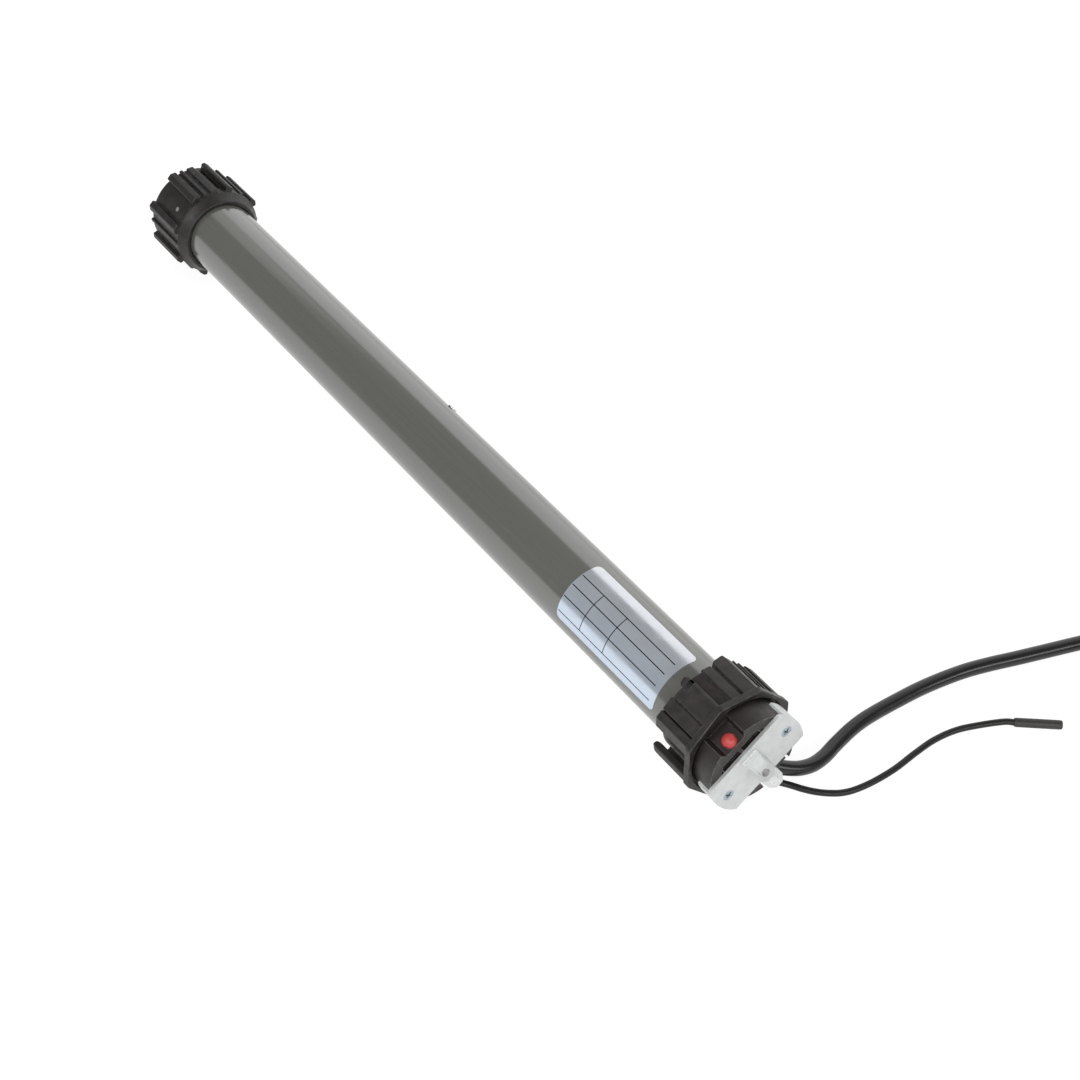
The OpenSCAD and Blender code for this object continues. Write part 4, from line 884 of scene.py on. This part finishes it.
@dataclass
class MainsCord:
    """Mains cable from the plug along the floor into its stored coil, with its stripped cores and a tie."""

    diameter: float = 8.0
    in_r: float = 34.5
    turns: float = 3.0
    climb: float = 0.5
    back: float = 2.6
    pitch: float = 8.6
    layer: float = 8.5
    start: float = 164.0
    centre: tuple[float, float] = (380.0, 253.2)
    lead_in: float = 12.0
    route_step: float = 2.0
    steps_per_turn: int = 96
    core_r: float = 1.1
    core_len: float = 34.0
    core_pitch: float = 2.6
    # Share of the cores' length that stays straight, their bow, and how fast they sink
    core_straight: float = 0.125
    core_bow: float = 0.2
    core_sink: float = 1.8
    ferrule_r: float = 0.9
    ferrule_len: float = 8.0
    ferrule_rim: float = 0.3
    ferrule_draw: float = 0.12
    tie_clock: float = -62.0
    tie_width: float = 14.0
    tie_thick: float = 0.7
    tie_round: float = 5.0
    # Strap's core: from and to radius from the coil's middle, and from and to height
    tie_reach: tuple[float, float] = (29.6, 65.2)
    tie_height: tuple[float, float] = (0.25, 17.4)

    def route(self) -> np.ndarray:
        """Points of the cable from the plug to the coil, in mm, as in the part's source."""
        points = np.array([
            [289.5, 18.5, 11.5], [292, 24.3, 8.9], [294, 31, 6.6], [294.6, 39, 5], [293, 48, 4.2],
            [289.7, 58, 4], [286.3, 70, 4], [284.4, 80, 4], [283.6, 90, 4], [283.3, 104, 4],
            [283.4, 120, 4], [284.6, 135, 4], [286.8, 150, 4], [290.3, 164, 4], [294.6, 178, 4],
            [299, 193, 4], [303.3, 208, 4], [307.7, 223, 4], [312, 238, 4]])
        coil = self.coil(np.array([0.0, 0.01]))
        ahead = unit(coil[1] - coil[0])
        entry = coil[0] - ahead * self.diameter
        return np.concatenate([points, [entry - ahead * self.lead_in, entry]])

    def coil(self, t: np.ndarray) -> np.ndarray:
        """Points of the coil at turns t, in mm.

        Formula: the radius falls by the pitch each turn, dips and returns during the climb, and grows by the
        pitch each turn on the second layer; the height rises on a cosine during the climb.
        """
        out_r = self.in_r + self.turns * self.pitch
        top = self.turns + self.climb
        r = np.select([t < self.turns, t < self.turns + self.climb / 2, t < top],
                      [out_r - self.pitch * t, self.in_r - self.pitch * (t - self.turns),
                       self.in_r - self.pitch * (top - t)], self.in_r + self.pitch * (t - top))
        rise = (1 - np.cos(np.pi * np.clip((t - self.turns) / self.climb, 0, 1))) / 2
        a = np.radians(self.start - 360 * t)
        return np.stack([self.centre[0] + r * np.cos(a), self.centre[1] + r * np.sin(a),
                         self.diameter / 2 + self.layer * rise], -1)

    def path(self) -> np.ndarray:
        """The whole line of the cable in mm: the route, the coil, and a straight end."""
        total = self.turns + self.climb + self.back
        coil = self.coil(np.linspace(0, total, int(total * self.steps_per_turn)))
        end = coil[-1] + unit(coil[-1] - coil[-2]) * self.diameter
        return np.concatenate([smooth_path(self.route(), self.route_step), coil, [end]])

    def cores(self, path: np.ndarray) -> list[np.ndarray]:
        """Lines of the three cores in mm.

        Formula: they leave the cable's end side by side, bow to one side with the square of the length, and
        sink to the lower layer on a cosine.
        """
        ahead = unit(path[-1] - path[-2])
        side = unit(np.cross([0.0, 0.0, 1.0], ahead))
        t = np.linspace(0, 1, 41)[:, None]
        bend = np.maximum(0, t - self.core_straight)
        sink = (1 - np.cos(np.pi * np.minimum(1, self.core_sink * bend))) / 2
        middle = path[-1] + ahead * self.core_len * t - np.array([0, 0, self.core_pitch]) * sink
        bow = self.core_len * bend ** 2 * self.core_bow
        return [middle + side * ((k - 1) * self.core_pitch - bow) for k in range(3)]

    def tie(self) -> Shell:
        """Strap round the coil.

        Formula: a rounded rectangle round the coil's section, carried with a thin rounded section across it.
        """
        (near, far), (low, high) = self.tie_reach, self.tie_height
        core, out = rounded_outline([(near, low), (far, low), (far, high), (near, high)], self.tie_round, 6)
        half, thick, lift = self.tie_width / 2, self.tie_thick, 0.02
        strip, rim = rounded_outline([(0, -half), (thick, -half), (thick, half), (0, half)], 0.25, 3)
        band = strip + rim
        place = core[:, None] + out[:, None] + unit(out)[:, None] * band[None, :, :1]
        place[..., 1] = np.maximum(place[..., 1], lift)
        a = math.radians(self.tie_clock)
        radial, aside = np.array([math.cos(a), math.sin(a)]), np.array([-math.sin(a), math.cos(a)])
        flat = (np.array(self.centre) + place[..., :1] * radial + band[None, :, 1:] * aside)
        grid = np.concatenate([flat, place[..., 1:]], axis=-1) * MM
        return Shell.grid(grid, wrap_u=True, wrap_v=True)

    def build(self) -> None:
        path = self.path()
        cable = swept(path, self.diameter / 2, 20).placed("mains_cord")
        dress(cable, CABLE_SHEATH, Body.CASING, "cable_sheath", "mains_cable", "mains_coil")
        lines = self.cores(path)
        finishes = {"brown": CORE_BROWN, "earth": CORE_EARTH, "blue": CORE_BLUE}
        for line, (colour, finish) in zip(lines, finishes.items()):
            core = swept(line, self.core_r, 14).placed(f"core_{colour}")
            dress(core, finish, Body.CASING, "core_sheath", "cable_cores")
        rim = self.ferrule_len - self.ferrule_rim
        run = np.array([0.0, 0.4, 1.8, 2.0, rim, self.ferrule_len])[:, None]
        tips = [swept(line[-1] + unit(line[-1] - line[-2]) * run, self.ferrule_r, 14,
                      lambda along, turn: -self.ferrule_draw * (along > rim + self.ferrule_rim / 2))
                for line in lines]
        ferrules = Shell.joined(tips).placed("ferrules")
        dress(ferrules, TINNED, Body.CASING, "tinned", "core_ferrules")
        dress(self.tie().placed("coil_tie"), TIE_FABRIC, Body.CASING, "cable_sheath")


@dataclass
class AntennaCord:
    """Thin antenna lead with its closed sleeve."""

    diameter: float = 3.5
    sleeve_r: float = 2.5
    sleeve_len: float = 25.0
    wrinkle: float = 0.09

    def build(self) -> None:
        """Formula: the sleeve is a turned form about the lead's last direction, a little drawn in at both ends.
        """
        points = np.array([
            [292, 9, 13.8], [292, 11.2, 10.8], [292.1, 13.4, 7.8], [292.6, 16.2, 4.8], [294.1, 19.6, 2.7],
            [297.6, 23, 1.9], [302.2, 26, 1.8], [307.3, 30, 1.8], [311.7, 34.7, 1.8], [315.6, 40.6, 1.8],
            [317.9, 48, 1.8], [318.9, 59.5, 1.8], [318.3, 74, 1.8], [315.8, 90, 1.8], [314.3, 104, 1.8],
            [315.4, 118, 1.8], [319.6, 131, 1.8], [325.3, 142.4, 2.5], [328.5, 146.4, 2.5]])
        path = smooth_path(points, 1.2)
        lead = swept(path, self.diameter / 2, 16).placed("antenna_cord")
        dress(lead, LEAD_SHEATH, Body.CASING, "cable_sheath", "antenna_lead")
        ahead = unit(points[-1] - points[-2])
        run = np.array([0.0, 0.25, 0.8, 1.6, 12.0, 23.6, 24.4, 24.85, self.sleeve_len])
        draw = np.array([-0.5, -0.2, -0.06, 0, 0, 0, -0.1, -0.35, -0.8])

        def drawn(along: np.ndarray, turn: np.ndarray) -> np.ndarray:
            """Radius that the sleeve loses at its ends and in its soft wrinkles."""
            soft = (1 - np.cos(0.52 * along)) * (1 + 0.4 * np.sin(2 * turn + 0.3 * along))
            return np.interp(along, run, draw) - self.wrinkle * soft

        sleeve = swept(points[-1] + ahead * run[:, None], self.sleeve_r, 24, drawn).placed("antenna_cap")
        dress(sleeve, SLEEVE_BLACK, Body.CASING, "cable_sheath", "antenna_sleeve")


@dataclass(frozen=True)
class CrossScrew:
    """Screw with a domed or flat head, a cross recess and a round shank, all in mm."""

    head_r: float
    grip: float
    dome: float
    depth: float
    # Fall from the head's rim to the shank: nearly none under a pan head, a cone under a flat one
    cone: float
    shank_r: float = 1.45
    chamfer: float = 0.5
    around: int = 96
    # Shares of the head's radius: half width of an arm, its reach, and the slopes of its sides and its end
    arm: tuple[float, float, float, float] = (0.17, 0.62, 0.05, 0.12)
    cross_turn: float = 20.0
    # Where the rim's fall begins, as a share of the head's radius, and the fall
    rim: tuple[float, float] = (0.95, 0.12)

    def shell(self, top: float, seat: float, place: Place) -> Shell:
        """The screw on its own axes.

        Formula: the head is a disc grid of radius and angle; its height is the top less a dome that grows
        with the square of the radius, less a recess where either axis of the cross is near nought and the
        radius is inside it. The rim, the underside and the shank follow as further rings.

        Args:
            top: Height of the head's middle in mm.
            seat: Height of its underside in mm.
            place: Turns the screw's own axes into points in metres.

        Returns:
            The closed surface.
        """
        share = np.concatenate([np.linspace(0, 0.94, 27), [0.97, 0.99, 1.0]])
        phi = np.linspace(0, 2 * np.pi, self.around, endpoint=False)
        r, a = np.meshgrid(share * self.head_r, phi, indexing="ij")
        x, y = r * np.cos(a), r * np.sin(a)
        cos, sin = math.cos(math.radians(self.cross_turn)), math.sin(math.radians(self.cross_turn))
        p, q = np.abs(x * cos + y * sin), np.abs(y * cos - x * sin)
        half, reach, side, end = (k * self.head_r for k in self.arm)
        inside = (np.clip((half - np.minimum(p, q)) / side, 0, 1)
                  * np.clip((reach - np.maximum(p, q)) / end, 0, 1))
        start, fall = self.rim
        edge = np.maximum(share[:, None] - start, 0) / (1 - start) * fall
        z = top - self.dome * (r / self.head_r) ** 2 - edge - inside * self.depth
        tip = seat - self.grip
        tail = np.array([[self.head_r, seat], [self.shank_r, seat - self.cone],
                         [self.shank_r, tip + self.chamfer], [self.shank_r * 0.6, tip], [0.0, tip]])
        tail_r, tail_z = (np.repeat(tail[:, k:k + 1], self.around, axis=1) for k in (0, 1))
        r, z = np.concatenate([r, tail_r]), np.concatenate([z, tail_z])
        a = np.concatenate([a, np.repeat(phi[None], len(tail), axis=0)])
        return Shell.grid(place(r * np.cos(a), r * np.sin(a), z), wrap_v=True)


@dataclass
class TubeShell:
    """Motor tube, its foil label and its pan-head screws."""

    length: float = 544.0
    wall: float = 1.0
    label_span: tuple[float, float] = (426.0, 512.0)
    label_clock: float = -37.0
    label_width: float = 40.0
    label_corner: float = 3.0
    label_steps: int = 49
    # Heights of the label's inner and outer face over the tube
    label_lift: tuple[float, float] = (0.03, 0.15)
    screw_s: float = 258.0
    screw_clocks: tuple[float, float] = (55.0, 145.0)
    # Heights of the screw's underside and of its middle over the tube
    screw_lift: tuple[float, float] = (0.05, 0.9)
    screw: CrossScrew = CrossScrew(head_r=3.0, grip=6.0, dome=0.25, depth=0.8, cone=0.05)

    def tube(self) -> Shell:
        """Turned shell of the tube with lightly rounded ends."""
        outer, inner = TUBE_R, TUBE_R - self.wall
        return lathe([(0, inner), (0, outer), (self.length, outer), (self.length, inner)], 0.2, 256)

    def label(self) -> Shell:
        """Thin curved sheet with rounded corners.

        Formula: at each station its half width is the full one less the rounding of the corner circle there;
        the sheet runs over its outer face and back over its inner face, each end is closed by a strip
        between the two, and its UV holds mm along and across.
        """
        low, high = self.label_span
        corner, half = self.label_corner, self.label_width / 2
        round_in = corner * (1 - np.cos(np.linspace(0, np.pi / 2, 9)))
        s = np.concatenate([low + round_in, high - round_in[::-1]])
        inset = np.maximum(0, corner - np.minimum(s - low, high - s))
        width = half - (corner - np.sqrt(np.maximum(corner ** 2 - inset ** 2, 0)))
        across = np.linspace(-1, 1, self.label_steps)
        turn = np.concatenate([across, across[::-1]])
        r = TUBE_R + np.repeat(self.label_lift[::-1], self.label_steps)
        arc = width[:, None] * turn[None]
        points = from_axis(s[:, None], r[None], self.label_clock + np.degrees(arc / TUBE_R))
        uv = np.stack(np.broadcast_arrays(s[:, None] - low, half - arc), -1)
        uv = np.concatenate([uv, uv[:, :1]], axis=1)
        sheet = Shell.grid(points, wrap_v=True, uv=uv)
        k, count = np.arange(len(across) - 1), len(turn)
        last = (len(s) - 1) * count
        strips = np.concatenate([np.stack([k + 1, k, count - 1 - k, count - 2 - k], -1),
                                 np.stack([k, k + 1, count - 2 - k, count - 1 - k], -1) + last])
        edge_uv = np.tile(uv[0, 0], (len(strips), 4, 1))
        return Shell(sheet.points, np.concatenate([sheet.quads, strips]), sheet.tris,
                     np.concatenate([sheet.quad_uv, edge_uv]), sheet.tri_uv)

    def screw_at(self, clock: float) -> Shell:
        """Pan-head screw with a cross recess, square to the tube's face."""
        a = math.radians(clock)
        along, up = np.array([1.0, 0, 0]), np.array([0, math.sin(a), math.cos(a)])
        side = np.array([0, math.cos(a), -math.sin(a)])
        base = np.array([self.screw_s - MIDDLE_S, 0, AXIS_H])

        def place(x: np.ndarray, y: np.ndarray, z: np.ndarray) -> np.ndarray:
            """Points in metres of the screw's own axes, with z out of the tube."""
            return (base + x[..., None] * along + y[..., None] * side + z[..., None] * up) * MM

        seat, top = self.screw_lift
        return self.screw.shell(TUBE_R + top, TUBE_R + seat, place)

    def build(self) -> None:
        """Makes the tube, the label and the screws."""
        dress(self.tube().placed("tube_shell"), TUBE, Body.CASING, "tube_paint", "motor_tube")
        dress(self.label().placed("foil_label"), FOIL, Body.CASING, "label_foil", "rating_label")
        screws = Shell.joined(self.screw_at(c) for c in self.screw_clocks)
        dress(screws.placed("tube_pan_screws", crease=28), BRIGHT_SCREW, Body.CASING, "bright_screw",
              "tube_screws")


@dataclass
class CrownAdapter:
    """Ribbed crown with its octagonal flange, round the tube behind the head."""

    rear_s: float = 522.0
    lip: tuple[float, float] = (544.4, 551.0)
    flange: tuple[float, float] = (550.0, 554.0)
    sleeve: tuple[float, float] = (22.56, 24.8)
    lip_bore: float = 21.51
    counterbore: float = 28.9
    across: float = 60.0
    flange_across: float = 62.0
    # Pads over half a turn: from and to clock angle, rear setback and inner radius
    pads: tuple[tuple[float, float, float, float], ...] = (
        (-119, -106, 0.5, 27.6), (-79, -60, 2.5, 24.1), (-59, -43.6, 2.5, 24.1), (-42.4, -19, 4.5, 24.1),
        (-6, 6, 2.5, 24.1), (9, 30, 0, 24.1), (36.8, 39.2, 1.5, 24.1), (46.6, 49.4, 1.5, 24.1))
    # Thumb that stands out behind a pad: from and to clock angle, rear setback, where it ends, inner radius
    thumb: tuple[float, float, float, float, float] = (-31.0, -19.0, 1.2, 9.0, 24.1)
    # Low body between the pads: from and to clock angle, rear setback and radius
    body: tuple[float, float, float, float] = (-79.0, 30.0, 3.0, 28.9)
    # Rounding of a wide and of a narrow pad, nose of a pad and of the thumb, and how far all sink into the
    # flange
    pad_round: tuple[float, float] = (0.8, 0.4)
    noses: tuple[float, float] = (4.0, 3.0)
    sink: float = 0.6
    # Toothed groove for the encoder pinion: its ends, tip and root radius, teeth and the gap's clock angle
    groove: tuple[float, float, float, float] = (545.8, 550.2, 22.1, 23.7)
    teeth: int = 57
    mesh_clock: float = 53.7
    # Half of the gap and the flank, in shares of a pitch
    tooth: tuple[float, float] = (0.18, 0.16)

    def sleeve_shell(self) -> Shell:
        """Turned sleeve over the tube, stepped in to the lip that turns on the neck, with the toothed groove.

        Formula: over the groove's bottom the radius falls from root to tip with a ramp of the distance, in
        tooth pitches, from the nearest gap.
        """
        bore, outer = self.sleeve
        gap, flank = self.tooth
        start, end, tip, root = self.groove

        def place(s: np.ndarray, r: np.ndarray, clock: np.ndarray) -> np.ndarray:
            """Points in metres with the teeth in the groove."""
            s, r, clock = np.broadcast_arrays(s, r, clock)
            turn = (clock - self.mesh_clock) * self.teeth / 360
            tooth = np.clip((np.abs(turn - np.round(turn)) - gap) / flank, 0, 1) * (root - tip)
            inside = (s > start - 0.1) & (s < end + 0.1) & (r > tip) & (r < root + 0.1)
            return from_axis(s, r - np.where(inside, tooth, 0.0), clock)

        return lathe([(self.rear_s + 2, bore), (self.rear_s + 2, outer), (self.lip[1] - 0.2, outer),
                      (self.lip[1] - 0.2, self.lip_bore), (end, self.lip_bore), (end, root), (start, root),
                      (start, self.lip_bore), (self.lip[0], self.lip_bore), (self.lip[0], bore)], 0.2,
                     self.teeth * 12, place)

    def flange_shell(self) -> Shell:
        """Octagonal flange with the counterbore that the head sits in.

        Formula: a turned section whose outer points, past the counterbore, take the octagon's radius in
        place of the circle's.
        """
        low, high = self.flange
        full = self.flange_across / 2
        step, inner = self.groove[1] + 0.1, self.sleeve[1] - 0.5
        corners = [(low, inner), (low, full), (high, full), (high, self.counterbore),
                   (self.lip[1], self.counterbore), (self.lip[1], self.lip_bore), (step, self.lip_bore),
                   (step, inner)]

        def place(s: np.ndarray, r: np.ndarray, clock: np.ndarray) -> np.ndarray:
            """Points in metres with the rim drawn out to the octagon."""
            s, r, clock = np.broadcast_arrays(s, r, clock)
            out = octagon_radius(self.flange_across, clock) - full
            return from_axis(s, r + np.where(r > self.counterbore + 0.5, out, 0.0), clock)

        return lathe(corners, 0.35, 256, place)

    def build(self) -> None:
        """Makes the crown of its sleeve, flange and pads."""
        shells = [self.sleeve_shell(), self.flange_shell()]
        low, high, back, body_r = self.body
        first, last, thumb_back, thumb_end, thumb_in = self.thumb
        front = self.flange[0] + self.sink
        for turn in (0, 180):
            shells.append(arc_bar((low + turn, high + turn), (self.rear_s + back, front), self.sleeve[1] - 1,
                                  body_r, 0.6))
            for start, end, setback, r_in in self.pads:
                wide, free = end - start > 4, r_in > 25
                nose = self.noses[0] if wide and (free or setback == 0) else 0.0
                shells.append(pad_bar((start + turn, end + turn), (self.rear_s + setback, front), r_in,
                                      self.across, self.pad_round[0 if wide else 1], nose, free))
            shells.append(pad_bar((first + turn, last + turn),
                                  (self.rear_s + thumb_back, self.rear_s + thumb_end), thumb_in, self.across,
                                  self.pad_round[0], self.noses[1]))
        crown = Shell.joined(shells).placed("crown_ring")
        dress(crown, CROWN_PLASTIC, Body.CROWN, "adapter_plastic", "crown_adapter")


@dataclass
class DriveWheel:
    """Ribbed drive wheel on the output shaft; its set screw is a CAD node that stays."""

    wheel_s: float = -38.0
    hub_s: float = -34.0
    joint: float = 1.0
    core: tuple[float, float] = (25.5, 26.5)
    body_r: float = 28.5
    ring: tuple[float, float] = (3.0, 29.0)
    # Blind slot: from and to clock angle, and its ends
    slot: tuple[float, float, float, float] = (13.0, 18.6, -34.0, -8.0)
    collar: tuple[float, float, float] = (5.0, 22.56, 25.3)
    hub: tuple[float, float] = (6.05, 10.5)
    web: float = 3.0
    across: float = 60.0
    spokes: int = 8
    spoke_half: float = 1.0
    # Ribs over half a turn: from and to clock angle
    ribs: tuple[tuple[float, float], ...] = (
        (-118, -107), (-90, -85), (-74, -61), (-29, -16), (-12, -7), (-2, 8), (19, 29), (42, 48))

    def shell(self) -> list[Shell]:
        """Turned core, near ring and collar, and the body over the core, which leaves the blind slots."""
        inner, outer = self.core
        ring_len, ring_r = self.ring
        end, bore, collar_r = self.collar
        low, high, near, far = self.slot
        shells = [lathe([(self.wheel_s, inner), (self.wheel_s, outer), (-ring_len / 2, outer),
                         (-ring_len / 2, inner)], 0.3),
                  lathe([(-ring_len, bore), (-ring_len, ring_r), (-ring_len / 2, ring_r - 0.1),
                         (ring_len / 2, ring_r - 2.4), (end, collar_r - 0.1), (end, bore)], 0.9)]
        for turn in (0, 180):
            shells.append(arc_bar((high + turn, low + turn + 180), (self.wheel_s, -ring_len / 2), outer - 0.5,
                                  self.body_r, 0.5))
            shells += [arc_bar((low + turn - 1, high + turn + 1), ends, outer - 0.5, self.body_r, 0.5)
                       for ends in ((self.wheel_s, near), (far, -ring_len / 2))]
        return shells

    def spoke(self, turn: float) -> Shell:
        """Flat rib between hub and core, turned about the axis."""
        half = self.spoke_half
        return block((self.hub[1] - 1, -half, self.hub_s), (self.core[1] - 1, half, -self.joint), 0.3,
                     outwards(turn))

    def build(self) -> None:
        """Makes the wheel."""
        bore, hub_r = self.hub
        rear, front = -self.web - self.joint, -self.joint
        shells = [*self.shell(),
                  lathe([(self.hub_s, bore), (self.hub_s, hub_r), (front, hub_r), (front, bore)], 0.4),
                  lathe([(rear, hub_r - 1), (rear, self.core[1] - 1), (front, self.core[1] - 1),
                         (front, hub_r - 1)], 0.2)]
        shells += [self.spoke(90 - k * 360 / self.spokes) for k in range(self.spokes)]
        shells += [pad_bar((low + turn, high + turn), (self.wheel_s, -self.ring[0] + 0.6), self.core[1] - 1,
                           self.across, 0.85) for turn in (0, 180) for low, high in self.ribs]
        wheel = Shell.joined(shells).placed("ribbed_wheel")
        dress(wheel, WHEEL_PLASTIC, Body.DRIVE, "adapter_plastic", "drive_wheel")


@dataclass
class HeadEnd:
    """Head housing, cable plug, bracket plate, stud, bracket screws and setting button."""

    plate_end_s: float = 569.4
    screw_e: float = 21.3
    screw: CrossScrew = CrossScrew(head_r=3.2, grip=9.4, dome=0.0, depth=1.2, cone=1.55)
    button_s: float = 563.0
    button_r: float = 3.8
    button_low: float = 20.55
    button_under: float = 21.55
    button_top: float = 27.0
    dome: float = 2.6
    rim_r: float = 4.8
    rim_end_s: float = 564.6

    def screws(self) -> Shell:
        """Countersunk screws with a cross recess, flush with the plate."""
        def at(side: float) -> Place:
            """Places one screw's axes in the head's."""
            return lambda x, y, z: from_head(side * self.screw_e + x, y, z)

        return Shell.joined(self.screw.shell(self.plate_end_s, self.plate_end_s - 0.1, at(side))
                            for side in (-1, 1))

    def button(self) -> Shell:
        """Domed button with its rim under the pocket's floor.

        Formula: a turned profile of two straight steps and a quarter ellipse, whose rim is held back to the
        station of the front wall's hollow.
        """
        a = np.linspace(0, np.pi / 2, 13)
        r = np.concatenate([[0, self.rim_r, self.rim_r, self.button_r], self.button_r * np.cos(a)])
        n = np.concatenate([[self.button_low, self.button_low, self.button_under, self.button_under],
                            self.button_top - self.dome + self.dome * np.sin(a)])
        phi = np.linspace(0, 2 * np.pi, 64, endpoint=False)
        e = r[:, None] * np.sin(phi)
        s = self.button_s + r[:, None] * np.cos(phi)
        s = np.where(r[:, None] > self.button_r + 0.1, np.minimum(s, self.rim_end_s), s)
        return Shell.grid(from_head(e, n[:, None], s), wrap_v=True)

    def build(self) -> None:
        """Makes the head's pieces."""
        for node, name, width, finish, slot in (
                ("head_housing", "head_cover", 0.35, HEAD_PLASTIC, "head_plastic"),
                ("cable_plug", "cable_boot", 0.1, HEAD_PLASTIC, "head_plastic"),
                ("bracket_plate", "zinc_bracket", 0.25, ZINC, "zinc_plate"),
                ("square_stud", "zinc_stud", 0.25, STUD_ZINC, "zinc_plate")):
            dress(softened_copy(node, name, width), finish, Body.CASING, slot)
        dress(self.screws().placed("plate_screws", crease=28), SCREW_ZINC, Body.CASING, "bright_screw",
              "bracket_screws")
        dress(self.button().placed("button_dome"), BUTTON_RED, Body.BUTTON, "button_plastic",
              "setting_button")


@dataclass
class MotorInside:
    """Wound pieces inside the tube: end windings with their slot bars, and the brake spring."""

    inner_r: float = 12.5
    slots: int = 12
    slot_half: float = 1.5
    # Wire bundle: rounding of its section, depth of its grooves, half their number and how far it is drawn in
    bundle: tuple[float, float, int, float] = (2.2, 0.22, 60, 0.25)
    around: int = 720
    spring_wire: float = 0.6
    spring_turns: int = 5
    spring_sides: int = 12
    steps_per_turn: int = 48

    def end_winding(self, s0: float, s1: float, outer_r: float) -> Shell:
        """Ring of wire bundles at one end of the stator.

        Formula: a rounded rectangle section carried round the axis, whose offset grows with the absolute sine
        of a fine angle that also turns with the place on the section, as wires that cross the bundle.
        """
        rounding, groove, wires, drawn = self.bundle
        core, out = rounded_outline([(s0, self.inner_r), (s1, self.inner_r), (s1, outer_r), (s0, outer_r)],
                                    rounding, 6)
        phi = np.linspace(0, 360, self.around, endpoint=False)
        place = np.linspace(0, 1, len(core), endpoint=False)
        wire = groove * np.abs(np.sin(np.radians(phi[:, None] * wires) + 4 * np.pi * place[None]))
        ring = core[None] + out[None] + unit(out)[None] * (wire[..., None] - drawn)
        return Shell.grid(from_axis(ring[..., 0], ring[..., 1], phi[:, None]), wrap_u=True, wrap_v=True)

    def windings(self) -> Shell:
        """Both end windings and the slot bars between them, in the place of their node."""
        low, high = (np.array(v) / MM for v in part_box("stator_windings"))
        first, last = low[0] + MIDDLE_S, high[0] + MIDDLE_S
        reach = (high[1] - low[1]) / 2
        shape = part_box("stator_core")
        start, end = shape[0][0] / MM + MIDDLE_S, shape[1][0] / MM + MIDDLE_S
        shells = [self.end_winding(first, start - 0.5, reach), self.end_winding(end + 0.5, last, reach)]
        half = self.slot_half
        shells += [block((self.inner_r + 0.2, -half, start - 1), (reach - 0.2, half, end + 1), 0.3,
                         outwards(90 - k * 360 / self.slots)) for k in range(self.slots)]
        return Shell.joined(shells)

    def spring(self) -> Shell:
        """Brake spring in the place of its node.

        Formula: at each point of the winding a circle stands across the tangent, on the direction away from
        the motor's axis.
        """
        low, high = (np.array(v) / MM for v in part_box("brake_spring"))
        wire = self.spring_wire
        mean = (high[1] - low[1]) / 2 - wire
        t = np.linspace(0, 1, self.spring_turns * self.steps_per_turn + 1)
        turn = 2 * np.pi * self.spring_turns * t
        away = np.stack([np.zeros_like(turn), np.cos(turn), np.sin(turn)], -1)
        path = np.stack([low[0] + wire + (high[0] - low[0] - 2 * wire) * t, np.zeros_like(t),
                         np.full_like(t, AXIS_H)], -1) + mean * away
        square = np.cross(unit(np.gradient(path, axis=0)), away)
        phi = np.linspace(0, 2 * np.pi, self.spring_sides, endpoint=False)[None, :, None]
        ring = away[:, None] * np.cos(phi) + square[:, None] * np.sin(phi)
        return Shell.grid((path[:, None] + wire * ring) * MM, wrap_v=True, caps=True)

    def build(self) -> None:
        """Makes the windings and the spring."""
        dress(self.windings().placed("winding_wires"), COPPER, Body.CASING, "copper", "stator_windings")
        dress(self.spring().placed("spring_wire"), PIN_STEEL, Body.ROTOR, "pin_steel", "brake_spring")


@dataclass
class CarriedNodes:
    """CAD nodes whose shape is right, each with its own finish."""

    def finishes(self) -> dict[str, Finish]:
        """The finish of each node that stays."""
        table: dict[str, Finish] = {
            "wheel_set_screw": BRIGHT_SCREW, "output_carrier": GEAR_STEEL, "output_pins": PIN_STEEL,
            "shaft_circlip": PIN_STEEL, "end_plate": DIE_CAST, "end_plate_screws": BRIGHT_SCREW,
            "output_bush": BRONZE, "gearbox_housing": HOUSING_STEEL, "second_carrier": SINTERED,
            "second_pins": PIN_STEEL, "first_carrier": SINTERED, "first_pins": PIN_STEEL,
            "front_shield": DIE_CAST, "motor_bushes": BRONZE, "brake_lining": LINING,
            "brake_disc": DISC_STEEL, "rotor_shaft": PIN_STEEL, "rotor_core": LAMINATION,
            "stator_core": LAMINATION, "rear_shield": DIE_CAST, "run_capacitor": CAPACITOR_CASE,
            "board_tray": TRAY_PLASTIC, "control_board": BOARD_GREEN, "relays": RELAY_PLASTIC,
            "transformer": CORE_YELLOW, "terminal_block": TERMINAL_GREEN,
            "encoder_pinion": NYLON, "switch_board": BOARD_GREEN, "tact_switch": SWITCH_BLACK,
            "switch_plunger": NYLON, "plug_pins": CONTACT_BRASS}
        for letter in "abc":
            table[f"third_planet_{letter}"] = GEAR_STEEL
            table[f"second_planet_{letter}"] = SINTERED
            table[f"first_planet_{letter}"] = NYLON
        return table

    def build(self) -> None:
        """Puts each finish in its node's material slots."""
        for node, finish in self.finishes().items():
            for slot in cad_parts[node].material_slots:
                slot.material = finish.make()
            LOG.info("%s: %s", node, finish.name)


def main() -> None:
    """Builds the camera, the cords, then every other piece."""
    logging.basicConfig(level=logging.INFO, format="%(name)s %(message)s")
    for part in (Viewpoint(), MainsCord(), AntennaCord(), Studio(), TubeShell(), CrownAdapter(), DriveWheel(),
                 HeadEnd(), MotorInside(), CarriedNodes()):
        LOG.info("building %s", type(part).__name__)
        part.build()


if __name__ == "__main__":
    main()
